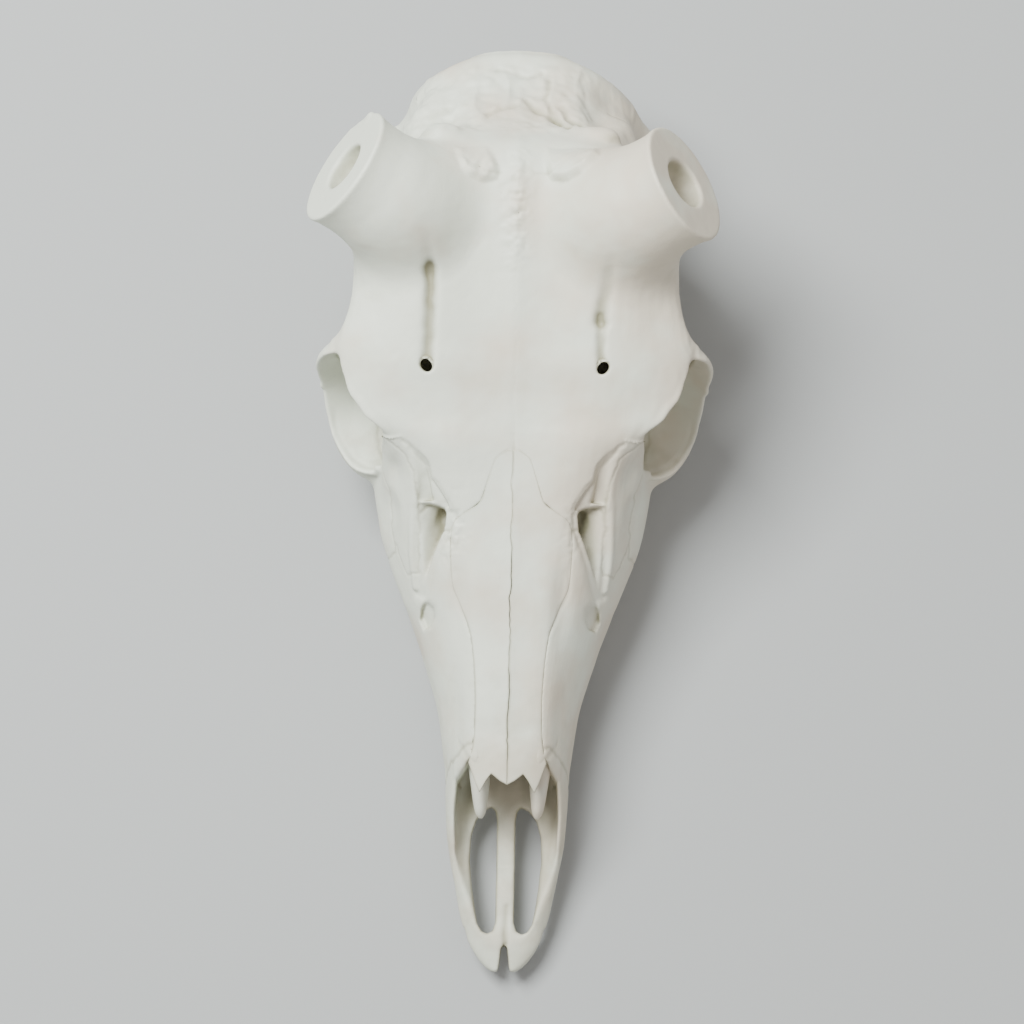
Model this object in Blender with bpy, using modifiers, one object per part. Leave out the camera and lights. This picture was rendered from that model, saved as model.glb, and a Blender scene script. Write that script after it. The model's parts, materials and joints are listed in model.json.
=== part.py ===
"""Deer skull with sawn antler pedicles, without its lower jaw.

The snout points to -Y, the animal's left is +X and +Z is up. The skull lies as it would on a
table: on the chewing faces of its cheek teeth and on the two paracondylar processes behind them.
The cranium is modelled whole, from masses that are fused and hollows that are cut, and is then
parted along its sutures, so that each bone is a solid of its own.
Sizes are in millimetres and are turned to metres by MM.
"""

import math

import bmesh
import bpy
from mathutils import Matrix, Vector

MM = 0.001
SIDES = {"left": 1, "right": -1}
BONE_COLOUR = (0.69, 0.68, 0.63)
# The tables count y from the middle of the palate; this brings the skull's middle to the origin.
CENTRING_Y = -3.3

# Gap between neighbouring bones, and the mesh sizes of the fused cranium.
SUTURE_GAP = 0.3
VOXEL = 1.9
SMOOTH_STEPS = 4
CRANIUM_FACES = 5600

# The core of the cranium, from the snout to the occiput, as half sections across it. Each row
# holds y, the roof's height on the midline, five corners (x, z) down the side, and the floor's
# height on the midline: shoulder, flank, cheek, outer edge and inner edge.
CORE = (
    (-197, 14.5, (3.5, 14), (5.5, 13), (7, 11.5), (5.5, 9), (3, 8.5), 8.5),
    (-188, 17, (8, 16.5), (11.5, 15), (14, 12.5), (12, 9), (6, 8), 8),
    (-176, 21, (12, 20), (16, 17.5), (18.5, 14), (16, 9.5), (8, 8.5), 8.5),
    (-160, 27, (16, 26), (20, 22), (22, 17), (19.5, 10), (10, 9.5), 9.5),
    (-137, 39, (20, 38), (24.3, 32), (26, 24), (23.4, 13), (12, 12), 12.5),
    (-120, 53, (17, 52), (24, 42), (26.2, 33), (24.2, 15), (13, 14), 15),
    (-113, 63.5, (16, 60.2), (21.9, 50.5), (26.3, 34.5), (24.5, 15.8), (14, 15), 15.8),
    (-110, 65, (16, 62.2), (21.8, 52), (26.4, 35), (24.6, 16), (14, 15), 16),
    (-85, 71, (16, 68), (22.5, 58), (30, 38), (27, 15), (15, 15), 19),
    (-59, 77, (18, 73.6), (28, 63), (37.8, 38), (34.5, 14), (19, 14), 23),
    (-34, 84, (23, 80.5), (35, 69), (47.3, 41), (41, 13), (22, 13), 25),
    (-8, 91, (27, 87.5), (43, 76), (55.3, 45), (47, 13), (25, 13), 27),
    (12, 96, (32, 95.5), (46, 87), (58, 46), (51, 13), (27, 13), 28),
    (25, 100, (38, 101), (51, 97), (57.5, 58), (53, 14), (28, 14), 29),
    (33, 102.3, (43, 103), (62.5, 99), (57, 57), (52.5, 15), (28, 14.5), 30.5),
    (42, 105, (50, 106), (70, 99.8), (54, 52), (52, 16), (28, 15), 32),
    (54, 110, (52, 111), (74, 101.5), (34, 70), (46, 26), (26, 20), 36),
    (64, 113, (52, 114), (73, 104), (31, 78), (26, 52), (20, 36), 41),
    (80, 118, (51, 118), (71, 103), (33, 82), (27, 55), (19, 38), 42),
    (100, 124, (50, 122), (69, 101), (46, 82), (38, 55), (22, 36), 38),
    (120, 129, (46, 127), (60, 106), (51, 82), (47, 54), (25, 32), 33),
    (140, 130.3, (36, 126.5), (49, 108), (52, 82), (52, 52), (28, 27), 28),
    (148, 126.6, (33, 123), (47, 107), (51.5, 82), (53, 52), (28.5, 26), 27),
    (157, 117.2, (29, 114.2), (44, 100.5), (51, 80), (55, 50), (29.5, 24.5), 25.5),
    (166, 110, (27, 107), (41, 96), (50.5, 75), (56, 50), (30, 24), 24.5),
    (178, 102.5, (26, 99.5), (39, 90), (50, 70), (55, 48), (30, 24), 24),
    (190, 95, (24, 93), (35, 84), (45, 66), (42, 44), (22, 30), 30),
    (200, 88, (16, 86), (23, 79), (26, 68), (20, 56), (9, 52), 52),
)
CORE_RING = 14
CORE_STEP = 4.0

# Eye socket: the middle of its mouth, the way it faces, its depth and how bluff its bottom is, the
# points of its rim, and how far out the rim's bar lies and its half thickness.
ORBIT_CENTRE = (69.0, 38.5, 77.0)
ORBIT_NORMAL = (0.776, -0.527, 0.346)
ORBIT_DEPTH = 33.0
ORBIT_BLUFFNESS = 2.3
ORBIT_RIM = (
    (76.2, 60.2, 99.5),
    (73.2, 54.5, 100),
    (71.2, 47, 99.6),
    (65.8, 38.8, 99.2),
    (60.2, 32.2, 98.2),
    (54, 29, 95),
    (52.5, 27.3, 86),
    (52.7, 25.8, 80),
    (53.8, 22.8, 70),
    (56.5, 19.8, 62.5),
    (61.5, 18.4, 58),
    (67.5, 20.2, 56),
    (72.6, 24.4, 55.5),
    (78.3, 34.5, 56),
    (80.3, 43, 58.5),
    (81.9, 52.5, 65),
    (84.2, 57.3, 74.5),
    (84, 59.5, 84),
    (81, 61.2, 93.5),
)
RIM_OFFSET = 0.8
RIM_THICKNESS = 2.0

# Cheekbone and arch, as a strap: each row holds its middle (x, y, z), half height and half width.
ARCH = (
    (40, -34, 40, 6, 5),
    (50, -10, 41, 8, 5.5),
    (53.5, 8, 43, 9, 6),
    (56.5, 18.5, 45, 10, 5.6),
    (65, 29, 46, 11, 7),
    (73, 38.5, 47, 11, 7),
    (76, 50, 49, 10, 6.3),
    (75.5, 68, 54, 8, 5),
    (70.5, 88, 56, 7.5, 4),
    (67, 106, 57, 7, 4),
    (61, 124, 54, 7.5, 5),
    (52, 138, 54, 9, 7),
)
# Bar behind the eye, from the frontal bone down to the arch, in the same terms.
POSTORBITAL = (
    (60, 69, 103, 5, 11),
    (73, 63.5, 98, 4.5, 7),
    (80.5, 61, 88, 3.8, 4.6),
    (81.5, 60, 74, 3.6, 4.5),
    (80, 57.5, 66, 3.8, 6),
    (78, 53, 57, 4.5, 8),
)

# Sawn antler pedicles: the middle of the cut, the way it faces, how much longer than wide it is, and
# the half sizes of the hollow in it.
PEDICLES = {
    "left": {
        "cut": (70.0, 129.4, 140),
        "axis": (0.796, 0.317, 0.515),
        "stretch": 1.05,
        "hollow": (10.8, 12.5),
    },
    "right": {
        "cut": (-73.5, 133.6, 138.5),
        "axis": (-0.793, 0.404, 0.456),
        "stretch": 1.02,
        "hollow": (10.6, 11.5),
    },
}
# Radius of a pedicle against the depth below its cut.
PEDICLE_PROFILE = (
    (64, 8),
    (54, 24),
    (44, 30),
    (34, 29),
    (24, 27.4),
    (12, 26.1),
    (4, 26.4),
    (0, 27.2),
    (-5, 28),
)
PEDICLE_HOLLOW_DEPTH = 11

# Cheek teeth of one side, front to back: length, width and number of lobes of each crown.
TEETH = (
    ("premolar", 15.5, 13, 1),
    ("premolar", 15.5, 15, 1),
    ("premolar", 14.5, 17, 1),
    ("molar", 20.5, 20, 2),
    ("molar", 24, 22, 2),
    ("molar", 23, 20.5, 2),
)
TOOTH_ROW_START = (27.5, -60)
TOOTH_ROW_END = (40.5, 53)
CROWN_ROOT = 21.0
CROWN_NECK = 9.0

# Nasal bones, as half sections: y, ridge height, edge height and half width of the pair.
NASALS = (
    (-122.5, 63.5, 59.5, 15.2),
    (-110, 66, 62.5, 15.4),
    (-85, 71.5, 68.5, 15.6),
    (-60, 77.5, 74.5, 16),
    (-42, 82, 79.5, 20),
    (-22, 87.5, 84, 25.5),
    (-6, 91.5, 88.5, 23),
    (8, 95, 93.5, 12),
    (20, 98.3, 98, 2.5),
)
NASAL_THICKNESS = 3.8
# Outline of the nose opening from above, as half of it: from the tip of the nasal bones on the
# midline, over their outer points, along the walls of the snout and to its front.
NOSE_OPENING = (
    (0, -119.7),
    (6.9, -115),
    (11.8, -122.8),
    (16.8, -110),
    (21.5, -116),
    (22.3, -130),
    (21.8, -145),
    (20, -160),
    (16, -174),
    (11, -182),
    (0, -184),
)
NOSE_OPENING_HEIGHT = 17.5
# Gaps in the floor of the snout, from above.
FISSURE = (
    (6.6, -124.3),
    (9.8, -125.8),
    (13.2, -130),
    (15.3, -137),
    (15.8, -148),
    (14.6, -160),
    (12.6, -170),
    (10.2, -177.8),
    (7.7, -179.7),
    (5, -178),
    (3.9, -173),
    (4.1, -130),
    (4.9, -126),
)
# Slit between the tips of the snout and what rounds them, from above, as halves.
TIP_NOTCH = ((0, -203), (2.7, -203), (2.1, -192), (1.4, -186), (0, -184))
TIP_TRIM = (
    (0, -194.6),
    (2, -194.6),
    (2.8, -196),
    (4, -196.3),
    (5.6, -195.8),
    (8, -194.2),
    (11, -191.2),
    (14, -187),
    (16.2, -182.8),
    (17.8, -177.5),
    (30, -177.5),
    (30, -206),
    (0, -206),
)
# Scroll bones in the nose, in the terms of ARCH.
TURBINATE = (
    (17.5, -84, 50, 11, 5),
    (15, -100, 49, 10, 5),
    (13.5, -115, 46, 8.5, 4.8),
    (12.9, -126, 42, 5.4, 3.9),
    (12.5, -131, 40, 3.4, 2.9),
    (12.3, -133.4, 39, 1.2, 1.2),
)

# Ridge round the back of the skull, in the terms of ARCH.
NUCHAL_CREST = (
    (0, 195.6, 89, 5, 4),
    (20, 193.4, 87, 5, 4),
    (33, 188, 80, 5, 4),
    (43, 181, 68, 5, 4),
    (50, 175, 54, 5, 4),
    (54, 170, 40, 6, 5),
)
# Paracondylar process of the occipital bone, down to the table.
PARACONDYLAR = (
    (50, 172, 46, 7, 8),
    (48, 174, 30, 5.5, 8),
    (45, 175, 14, 4.5, 7.5),
    (43, 175, -3, 4, 6),
)
PTERYGOID = (
    (24, 56, 30, 12, 4),
    (19, 74, 30, 13, 3),
    (16, 88, 27, 13, 2.8),
    (15, 100, 26, 9, 2.8),
)
# Round masses of each side: name, middle and radii.
LUMPS = (
    ("cheek_shelf", (62, 37, 46), (14.5, 18, 9)),
    ("jaw_joint", (57, 128, 53), (16, 14, 8)),
    ("ear_capsule", (31, 151, 23), (10, 15, 13)),
    ("ear_canal", (50, 153, 44), (14, 7, 7)),
    ("mastoid", (56, 168, 42), (8, 10, 15)),
    ("condyle", (17, 193, 36), (11.5, 11, 15)),
    ("brain_swell", (36, 150, 84), (17, 30, 22)),
)

# Nasal cavity: y, floor, top, half width low down and near the top.
NASAL_CAVITY = (
    (-184, 16, 60, 9, 9),
    (-172, 16.5, 70, 13, 13),
    (-155, 17.5, 80, 17, 17.5),
    (-137, 18.5, 90, 20, 21.5),
    (-121, 20, 90, 20.5, 21),
    (-113, 21, 90, 20.5, 12.5),
    (-85, 24, 90, 21, 12.5),
    (-62, 28, 90, 19, 11),
)
CHOANA = ((0, 84, 22), (12, 26, 15))
# Pits of each side: name, middle, radii and the way each faces.
PITS = (
    ("ethmoid_gap", (36, -16, 80), (22, 6, 12), (0.55, -0.1, 0.83)),
    ("tear_pit", (60, -2, 68), (11, 13, 9), (0.85, -0.2, 0.45)),
    ("temple", (64, 112, 92), (16, 20, 11), (0.75, 0.1, 0.6)),
)

# Small holes of each side: name, radius, and its ends.
HOLES = (
    ("supraorbital_hole", 2.7, (37.5, 49, 130), (37.7, 56.5, 99)),
    ("supraorbital_canal", 2.7, (37.3, 56.8, 100.5), (54, 52, 90)),
    ("ear_hole", 3.5, (50, 153, 44), (70, 153, 44)),
)
BRAIN_HOLE = ((0, 197, 38), (11, 20, 9))

# Shares of space of the bones, in the order they are taken. An outline across z is in (x, y),
# and one across x is in (y, z).
PREMAXILLA_OUTLINE = ((-230, -10), (-127, -10), (-103, 62), (-103, 90), (-230, 90))
ZYGOMATIC_OUTLINE = ((51, -18), (120, -18), (120, 97), (62, 97), (58, 60), (60, 34), (54, 14))
LACRIMAL_OUTLINE = ((40, -28), (90, -28), (90, 34), (55, 34), (46, 20), (40, 2))
TEMPORAL_OUTLINE = (
    (34, 106),
    (56, 97.3),
    (120, 97.3),
    (120, 167),
    (19, 167),
    (19, 136),
    (34, 134),
)
OCCIPITAL_OUTLINE = (
    (188, 130),
    (240, 130),
    (240, -10),
    (153, -10),
    (153, 36),
    (167.3, 42),
    (167.3, 78),
)
PARIETAL_OUTLINE = ((0, 133), (14, 133), (32, 143), (42, 153), (64, 153), (64, 240), (0, 240))
SPHENOID_OUTLINE = ((62.3, -10), (153, -10), (153, 60), (62.3, 60))
FRONTAL_OUTLINE = ((-12, 79), (24, 79), (46, 60.3), (240, 60.3), (240, 200), (-12, 200))
MAXILLA_OUTLINE = ((-230, -10), (120, -10), (120, 120), (-230, 120))


def paired(name, **region):
    """The same region on both sides."""
    return {name + "_" + label: dict(region, side=side) for label, side in SIDES.items()}


def mirrored(half):
    """A closed outline from its half, which starts and ends on the midline."""
    return list(half) + [(-x, y) for x, y in reversed(half[1:-1])]


WIDE = (SUTURE_GAP / 2, 120)
REGIONS = {
    **paired("premaxilla", across="x", outline=PREMAXILLA_OUTLINE, span=WIDE),
    "pedicle_left": {"across": "axis", "pedicle": "left", "length": 24, "radius": 34},
    "pedicle_right": {"across": "axis", "pedicle": "right", "length": 24, "radius": 34},
    **paired("zygomatic", across="z", outline=ZYGOMATIC_OUTLINE, span=(15, 68)),
    **paired("lacrimal", across="z", outline=LACRIMAL_OUTLINE, span=(57, 93)),
    **paired("temporal", across="z", outline=TEMPORAL_OUTLINE, span=(-10, 82)),
    "occipital": {"across": "x", "outline": OCCIPITAL_OUTLINE, "span": (-120, 120)},
    "parietal": {"across": "z", "outline": mirrored(PARIETAL_OUTLINE), "span": (60, 200)},
    "sphenoid": {"across": "x", "outline": SPHENOID_OUTLINE, "span": (-120, 120)},
    **paired("frontal", across="x", outline=FRONTAL_OUTLINE, span=WIDE),
    **paired("maxilla", across="x", outline=MAXILLA_OUTLINE, span=WIDE),
}


def point(x, y, z, side=1):
    """A place in metres, mirrored to the given side."""
    return Vector((side * x * MM, y * MM, z * MM))


def clear_scene():
    """Empties the scene."""
    for old in list(bpy.data.objects):
        bpy.data.objects.remove(old, do_unlink=True)


def collection(name, hidden=False):
    """A collection of the scene."""
    made = bpy.data.collections.new(name)
    bpy.context.scene.collection.children.link(made)
    made.hide_render = hidden
    return made


def mesh_object(name, shape, into):
    """An object from a bmesh, with its faces turned outwards."""
    if shape.calc_volume(signed=True) < 0:
        bmesh.ops.reverse_faces(shape, faces=shape.faces)
    mesh = bpy.data.meshes.new(name)
    shape.to_mesh(mesh)
    shape.free()
    made = bpy.data.objects.new(name, mesh)
    into.objects.link(made)
    return made


def helper(made):
    """Marks an object as one that isn't part of the skull."""
    made.hide_render = True
    made.display_type = "WIRE"
    return made


def curve_through(knots, values, where):
    """Catmull-Rom value at a place, through values given at rising knots."""
    if where <= knots[0]:
        return values[0]
    if where >= knots[-1]:
        return values[-1]
    i = max(n for n in range(len(knots) - 1) if knots[n] <= where)
    span = knots[i + 1] - knots[i]
    t = (where - knots[i]) / span
    before = max(i - 1, 0)
    after = min(i + 2, len(knots) - 1)
    slope_in = (values[i + 1] - values[before]) / (knots[i + 1] - knots[before])
    slope_out = (values[after] - values[i]) / (knots[after] - knots[i])
    return (
        values[i] * (2 * t**3 - 3 * t**2 + 1)
        + values[i + 1] * (3 * t**2 - 2 * t**3)
        + span * slope_in * (t**3 - 2 * t**2 + t)
        + span * slope_out * (t**3 - t**2)
    )


def resample(corners, count):
    """Points spread evenly along a smooth line through 2D corners, as vectors."""
    knots = [0.0]
    for a, b in zip(corners, corners[1:]):
        knots.append(knots[-1] + math.dist(a, b))
    steps = [knots[-1] * n / (count - 1) for n in range(count)]
    across = [c[0] for c in corners]
    up = [c[1] for c in corners]
    return [(curve_through(knots, across, s), curve_through(knots, up, s)) for s in steps]


def loft(name, rings, into, closed=False):
    """A closed body skinned over rings of points, with flat ends or, if closed, round a loop."""
    shape = bmesh.new()
    rows = [[shape.verts.new(p) for p in ring] for ring in rings]
    after = rows[1:] + rows[:1] if closed else rows[1:]
    for low, high in zip(rows, after):
        for n in range(len(low)):
            following = (n + 1) % len(low)
            shape.faces.new((low[n], low[following], high[following], high[n]))
    if not closed:
        shape.faces.new(rows[0])
        shape.faces.new(rows[-1])
    bmesh.ops.recalc_face_normals(shape, faces=shape.faces)
    return mesh_object(name, shape, into)


def ellipsoid(name, centre, radii, into, turn=None, side=1, segments=24):
    """An ellipsoid from a UV sphere; turn is the matrix of its axes on the +X side."""
    shape = bmesh.new()
    bmesh.ops.create_uvsphere(shape, u_segments=segments, v_segments=segments // 2, radius=1)
    size = Matrix.Diagonal((*(r * MM for r in radii), 1))
    turned = (turn or Matrix.Identity(3)).to_4x4()
    mirror = Matrix.Diagonal((side, 1, 1, 1))
    shape.transform(mirror @ Matrix.Translation(point(*centre)) @ turned @ size)
    return mesh_object(name, shape, into)


def axes_facing(normal):
    """Matrix whose third axis is the normal and whose second axis is the upright one across it."""
    third = Vector(normal).normalized()
    second = (Vector((0, 0, 1)) - third * third.z).normalized()
    first = second.cross(third)
    return Matrix((first, second, third)).transposed()


def strap(name, rows, into, side=1, sides=12):
    """A bar of elliptic section along rows of (x, y, z, half height, half width)."""
    spots = [Vector(row[:3]) for row in rows]
    rings = []
    for n, row in enumerate(rows):
        along = (spots[min(n + 1, len(rows) - 1)] - spots[max(n - 1, 0)]).normalized()
        upright = Vector((0, 0, 1)) if abs(along.z) < 0.8 else Vector((1, 0, 0))
        tall = (upright - along * along.dot(upright)).normalized()
        wide = along.cross(tall)
        ring = []
        for k in range(sides):
            angle = 2 * math.pi * k / sides
            spot = spots[n] + tall * row[3] * math.cos(angle) + wide * row[4] * math.sin(angle)
            ring.append(point(*spot, side=side))
        rings.append(ring)
    return loft(name, rings, into)


def prism(name, outline, low, high, into, side=1, across="z"):
    """A flat outline carried from low to high along one axis. Across z the outline is (x, y), and
    across x it is (y, z)."""
    shape = bmesh.new()
    order = {"z": lambda a, b, c: point(a, b, c, side), "x": lambda a, b, c: point(c, a, b, side)}
    place = order[across]
    bottom = [shape.verts.new(place(a, b, low)) for a, b in outline]
    top = [shape.verts.new(place(a, b, high)) for a, b in outline]
    shape.faces.new(bottom)
    shape.faces.new(top)
    for n in range(len(outline)):
        following = (n + 1) % len(outline)
        shape.faces.new((bottom[n], bottom[following], top[following], top[n]))
    bmesh.ops.recalc_face_normals(shape, faces=shape.faces)
    return mesh_object(name, shape, into)


def build_core(into):
    """The cranium's core: smooth sections through the corners of CORE."""
    knots = [row[0] for row in CORE]
    count = int((knots[-1] - knots[0]) / CORE_STEP)
    rings = []
    for n in range(count + 1):
        y = knots[0] + (knots[-1] - knots[0]) * n / count
        roof = curve_through(knots, [row[1] for row in CORE], y)
        floor = curve_through(knots, [row[-1] for row in CORE], y)
        corners = [(0, roof)]
        for corner in range(2, 7):
            x = curve_through(knots, [row[corner][0] for row in CORE], y)
            z = curve_through(knots, [row[corner][1] for row in CORE], y)
            corners.append((x, z))
        corners.append((0, floor))
        half = resample(corners, CORE_RING)
        ring = [point(x, y, z) for x, z in half]
        ring += [point(-x, y, z) for x, z in reversed(half[1:-1])]
        rings.append(ring)
    return loft("core", rings, into)


def orbit_rim(name, into, side):
    """The raised rim of an eye socket: a bar round the loop of its rim, a little outside it."""
    centre, normal = Vector(ORBIT_CENTRE), Vector(ORBIT_NORMAL).normalized()
    loop = [Vector(spot) for spot in ORBIT_RIM]
    rings = []
    for n, spot in enumerate(loop):
        along = (loop[(n + 1) % len(loop)] - loop[n - 1]).normalized()
        outward = (spot - centre - along * along.dot(spot - centre)).normalized()
        ahead = along.cross(outward)
        if ahead.dot(normal) < 0:
            ahead = -ahead
        middle = spot + outward * RIM_OFFSET
        ring = []
        for k in range(8):
            angle = 2 * math.pi * k / 8
            ring.append(middle + (outward * math.cos(angle) + ahead * math.sin(angle)) * RIM_THICKNESS)
        rings.append([point(*corner, side=side) for corner in ring])
    return loft(name, rings, into, closed=True)


def socket(name, into, side):
    """The eye socket's hollow: rings that keep its rim's shape and close in on the bottom. How far
    out a ring lies and how far in, as shares, both to the power of the bluffness, add up to 1."""
    centre, axes = Vector(ORBIT_CENTRE), axes_facing(ORBIT_NORMAL)
    loop = [axes.transposed() @ (Vector(spot) - centre) for spot in ORBIT_RIM]
    rings = []
    for share in (-0.6, 0, 0.25, 0.45, 0.62, 0.76, 0.87, 0.95, 0.99):
        out = (1 - max(share, 0) ** ORBIT_BLUFFNESS) ** (1 / ORBIT_BLUFFNESS)
        ring = []
        for a, b, c in loop:
            spot = Vector((a * out, b * out, c * out**2 - share * ORBIT_DEPTH))
            ring.append(point(*(centre + axes @ spot), side=side))
        rings.append(ring)
    return loft(name, rings, into)


def pedicle_frame(name):
    """The middle of a pedicle's cut, in metres, and the way the cut faces."""
    facts = PEDICLES[name]
    return point(*facts["cut"]), Vector(facts["axis"]).normalized()


def turned_body(name, profile, start, axis, into, sides=20, stretch=1.0):
    """A round body along an axis; the profile holds (distance from the start, radius) in mm. A
    stretch over 1 makes its section longer by that much in its level direction."""
    turn = axes_facing(axis)
    rings = []
    for along, radius in profile:
        angles = [2 * math.pi * k / sides for k in range(sides)]
        flat = [(radius * stretch * math.cos(a), radius * math.sin(a), along) for a in angles]
        rings.append([start + turn @ Vector(spot) * MM for spot in flat])
    return loft(name, rings, into)


def build_pedicle(name, into):
    """A pedicle from inside the frontal bone to a little past its cut."""
    cut, axis = pedicle_frame(name)
    profile = [(-depth, radius) for depth, radius in PEDICLE_PROFILE]
    turned_body("pedicle_mass_" + name, profile, cut, axis, into, 24, PEDICLES[name]["stretch"])


def build_masses(into):
    """Everything that is bone, as overlapping closed bodies round the core."""
    for name, side in SIDES.items():
        strap("arch_" + name, ARCH, into, side)
        strap("postorbital_" + name, POSTORBITAL, into, side)
        strap("nuchal_crest_" + name, NUCHAL_CREST, into, side)
        strap("paracondylar_" + name, PARACONDYLAR, into, side)
        strap("pterygoid_" + name, PTERYGOID, into, side)
        orbit_rim("orbit_rim_" + name, into, side)
        build_pedicle(name, into)
        for lump, centre, radii in LUMPS:
            ellipsoid(lump + "_" + name, centre, radii, into, side=side)


def build_hollows(into):
    """What is carved out of the masses before they are smoothed."""
    rings = []
    for y, floor, top, low_half, high_half in NASAL_CAVITY:
        middle = (floor + top) / 2
        half = [(0, floor), (low_half * 0.8, floor), (low_half, floor + 4), (high_half + 1, middle)]
        half += [(high_half, top), (0, top)]
        ring = [point(x, y, z) for x, z in half]
        ring += [point(-x, y, z) for x, z in reversed(half[1:-1])]
        rings.append(ring)
    loft("nasal_cavity", rings, into)
    ellipsoid("choana", CHOANA[0], CHOANA[1], into)
    for name, side in SIDES.items():
        socket("orbit_" + name, into, side)
        for pit, centre, radii, facing in PITS:
            ellipsoid(pit + "_" + name, centre, radii, into, turn=axes_facing(facing), side=side)


def build_cuts(into):
    """Crisp cuts in the smoothed cranium: openings, holes, the saw cuts and the table."""
    prism("nose_opening", mirrored(NOSE_OPENING), NOSE_OPENING_HEIGHT, 100, into)
    prism("tip_notch", mirrored(TIP_NOTCH), -20, 60, into)
    prism("tip_trim", mirrored(TIP_TRIM), -20, 60, into)
    prism("table", [(-150, -260), (150, -260), (150, 260), (-150, 260)], -60, 0, into)
    ellipsoid("brain_hole", *BRAIN_HOLE, into)
    for name, side in SIDES.items():
        prism("fissure_" + name, list(FISSURE), -20, 34, into, side)
        for hole, radius, start, end in HOLES:
            start, end = point(*start, side=side), point(*end, side=side)
            length = (end - start).length / MM
            profile = ((0, radius), (length, radius))
            turned_body(hole + "_" + name, profile, start, (end - start).normalized(), into, 16)
        cut, axis = pedicle_frame(name)
        turned_body("saw_cut_" + name, ((0, 45), (30, 45)), cut, axis, into, 12)
        build_pedicle_hollow(name, cut, axis, into)


def build_pedicle_hollow(name, cut, axis, into):
    """The hollow in a pedicle's cut: steep walls and a flat bottom."""
    wide, high = PEDICLES[name]["hollow"]
    shares = ((-1, 0.55), (-0.9, 0.8), (-0.6, 0.93), (0, 1), (0.5, 1))
    profile = [(down * PEDICLE_HOLLOW_DEPTH, out * high) for down, out in shares]
    turned_body("pedicle_hollow_" + name, profile, cut, axis, into, 20, wide / high)


def nasal_half(name, into, side, by=0.0, headroom=0.0):
    """A nasal bone as an arched plate, grown by a distance and heightened by the headroom."""
    rings = []
    for y, ridge, edge, half in NASALS:
        inner = SUTURE_GAP / 2 - by
        mid = ridge * 0.75 + edge * 0.25
        top = [(inner, ridge), (half / 2, mid + 0.4), (half + by, edge)]
        under = [(half + by, edge - NASAL_THICKNESS), (half / 2, mid - NASAL_THICKNESS)]
        under += [(inner, ridge - NASAL_THICKNESS)]
        ring = [point(x, y, z + by + headroom, side) for x, z in top]
        ring += [point(x, y, z - by, side) for x, z in under]
        rings.append(ring)
    return loft(name, rings, into)


def turbinate(name, into, side, by=0.0):
    """A scroll bone of the nose, grown by a distance."""
    rows = [(*row[:3], row[3] + by, row[4] + by) for row in TURBINATE]
    return strap(name, rows, into, side)


def crown(name, middle, length, width, lobes, turn, into, side):
    """A cheek tooth: lobes along the row, waisted at the neck, flat on its chewing face."""
    rings = []
    for z, swell in ((0, 0.975), (CROWN_NECK, 1.0), (CROWN_ROOT, 0.88)):
        ring = []
        for k in range(8 * lobes):
            angle = 2 * math.pi * k / (8 * lobes)
            along = math.cos(angle)
            across = math.sin(angle)
            square = (abs(along) ** 4 + abs(across) ** 4) ** -0.25
            along *= square
            across *= square
            pinch = 1 - 0.12 * (lobes > 1) * max(0, 1 - abs(along) / 0.3)
            x = across * width / 2 * swell * pinch
            y = along * (length / 2 * swell - 0.1)
            turned = (x * math.cos(turn) + y * math.sin(turn), y * math.cos(turn) - x * math.sin(turn))
            ring.append(point(middle[0] + turned[0], middle[1] + turned[1], z, side))
        rings.append(ring)
    return loft(name, rings, into)


def build_teeth(into, side):
    """The cheek teeth of one side, in a row from the first premolar to the last molar."""
    start, end = Vector(TOOTH_ROW_START), Vector(TOOTH_ROW_END)
    row = sum(length for _, length, _, _ in TEETH)
    turn = math.atan2(end.x - start.x, end.y - start.y)
    done = 0.0
    for number, (kind, length, width, lobes) in enumerate(TEETH, 1):
        place = start.lerp(end, (done + length / 2) / row)
        bow = 2.5 * math.sin(math.pi * (done + length / 2) / row)
        crown(f"{kind}_{number}", (place.x + bow, place.y), length, width, lobes, turn, into, side)
        done += length


def boolean(made, operation, operand, solver="EXACT"):
    """A Boolean modifier with an object or a collection."""
    modifier = made.modifiers.new(operation.lower(), "BOOLEAN")
    modifier.operation = operation
    modifier.solver = solver
    if isinstance(operand, bpy.types.Collection):
        modifier.operand_type = "COLLECTION"
        modifier.collection = operand
    else:
        modifier.object = operand
    return modifier


def applied(made):
    """The object's mesh as its modifiers leave it."""
    graph = bpy.context.evaluated_depsgraph_get()
    graph.update()
    return bpy.data.meshes.new_from_object(made.evaluated_get(graph))


def largest_body(mesh):
    """Drops every loose scrap from a mesh but its largest closed surface."""
    shape = bmesh.new()
    shape.from_mesh(mesh)
    bmesh.ops.triangulate(shape, faces=shape.faces)
    shape.verts.ensure_lookup_table()
    seen = set()
    bodies = []
    for start in shape.verts:
        if start.index in seen:
            continue
        body = []
        waiting = [start]
        seen.add(start.index)
        while waiting:
            spot = waiting.pop()
            body.append(spot)
            for edge in spot.link_edges:
                other = edge.other_vert(spot)
                if other.index not in seen:
                    seen.add(other.index)
                    waiting.append(other)
        bodies.append(body)
    bodies.sort(key=body_size)
    scraps = [spot for body in bodies[:-1] for spot in body]
    bmesh.ops.delete(shape, geom=scraps, context="VERTS")
    shape.to_mesh(mesh)
    shape.free()
    return mesh


def body_size(body):
    """Diagonal of the box round some vertices."""
    low = [min(v.co[k] for v in body) for k in range(3)]
    high = [max(v.co[k] for v in body) for k in range(3)]
    return math.dist(low, high)


def combined(mesh, operation, others, into):
    """The mesh less the other bodies, or fused with them, down to its largest closed surface."""
    made = bpy.data.objects.new("combined", mesh)
    into.objects.link(made)
    boolean(made, operation, others)
    result = largest_body(applied(made))
    bpy.data.objects.remove(made)
    return result


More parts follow.
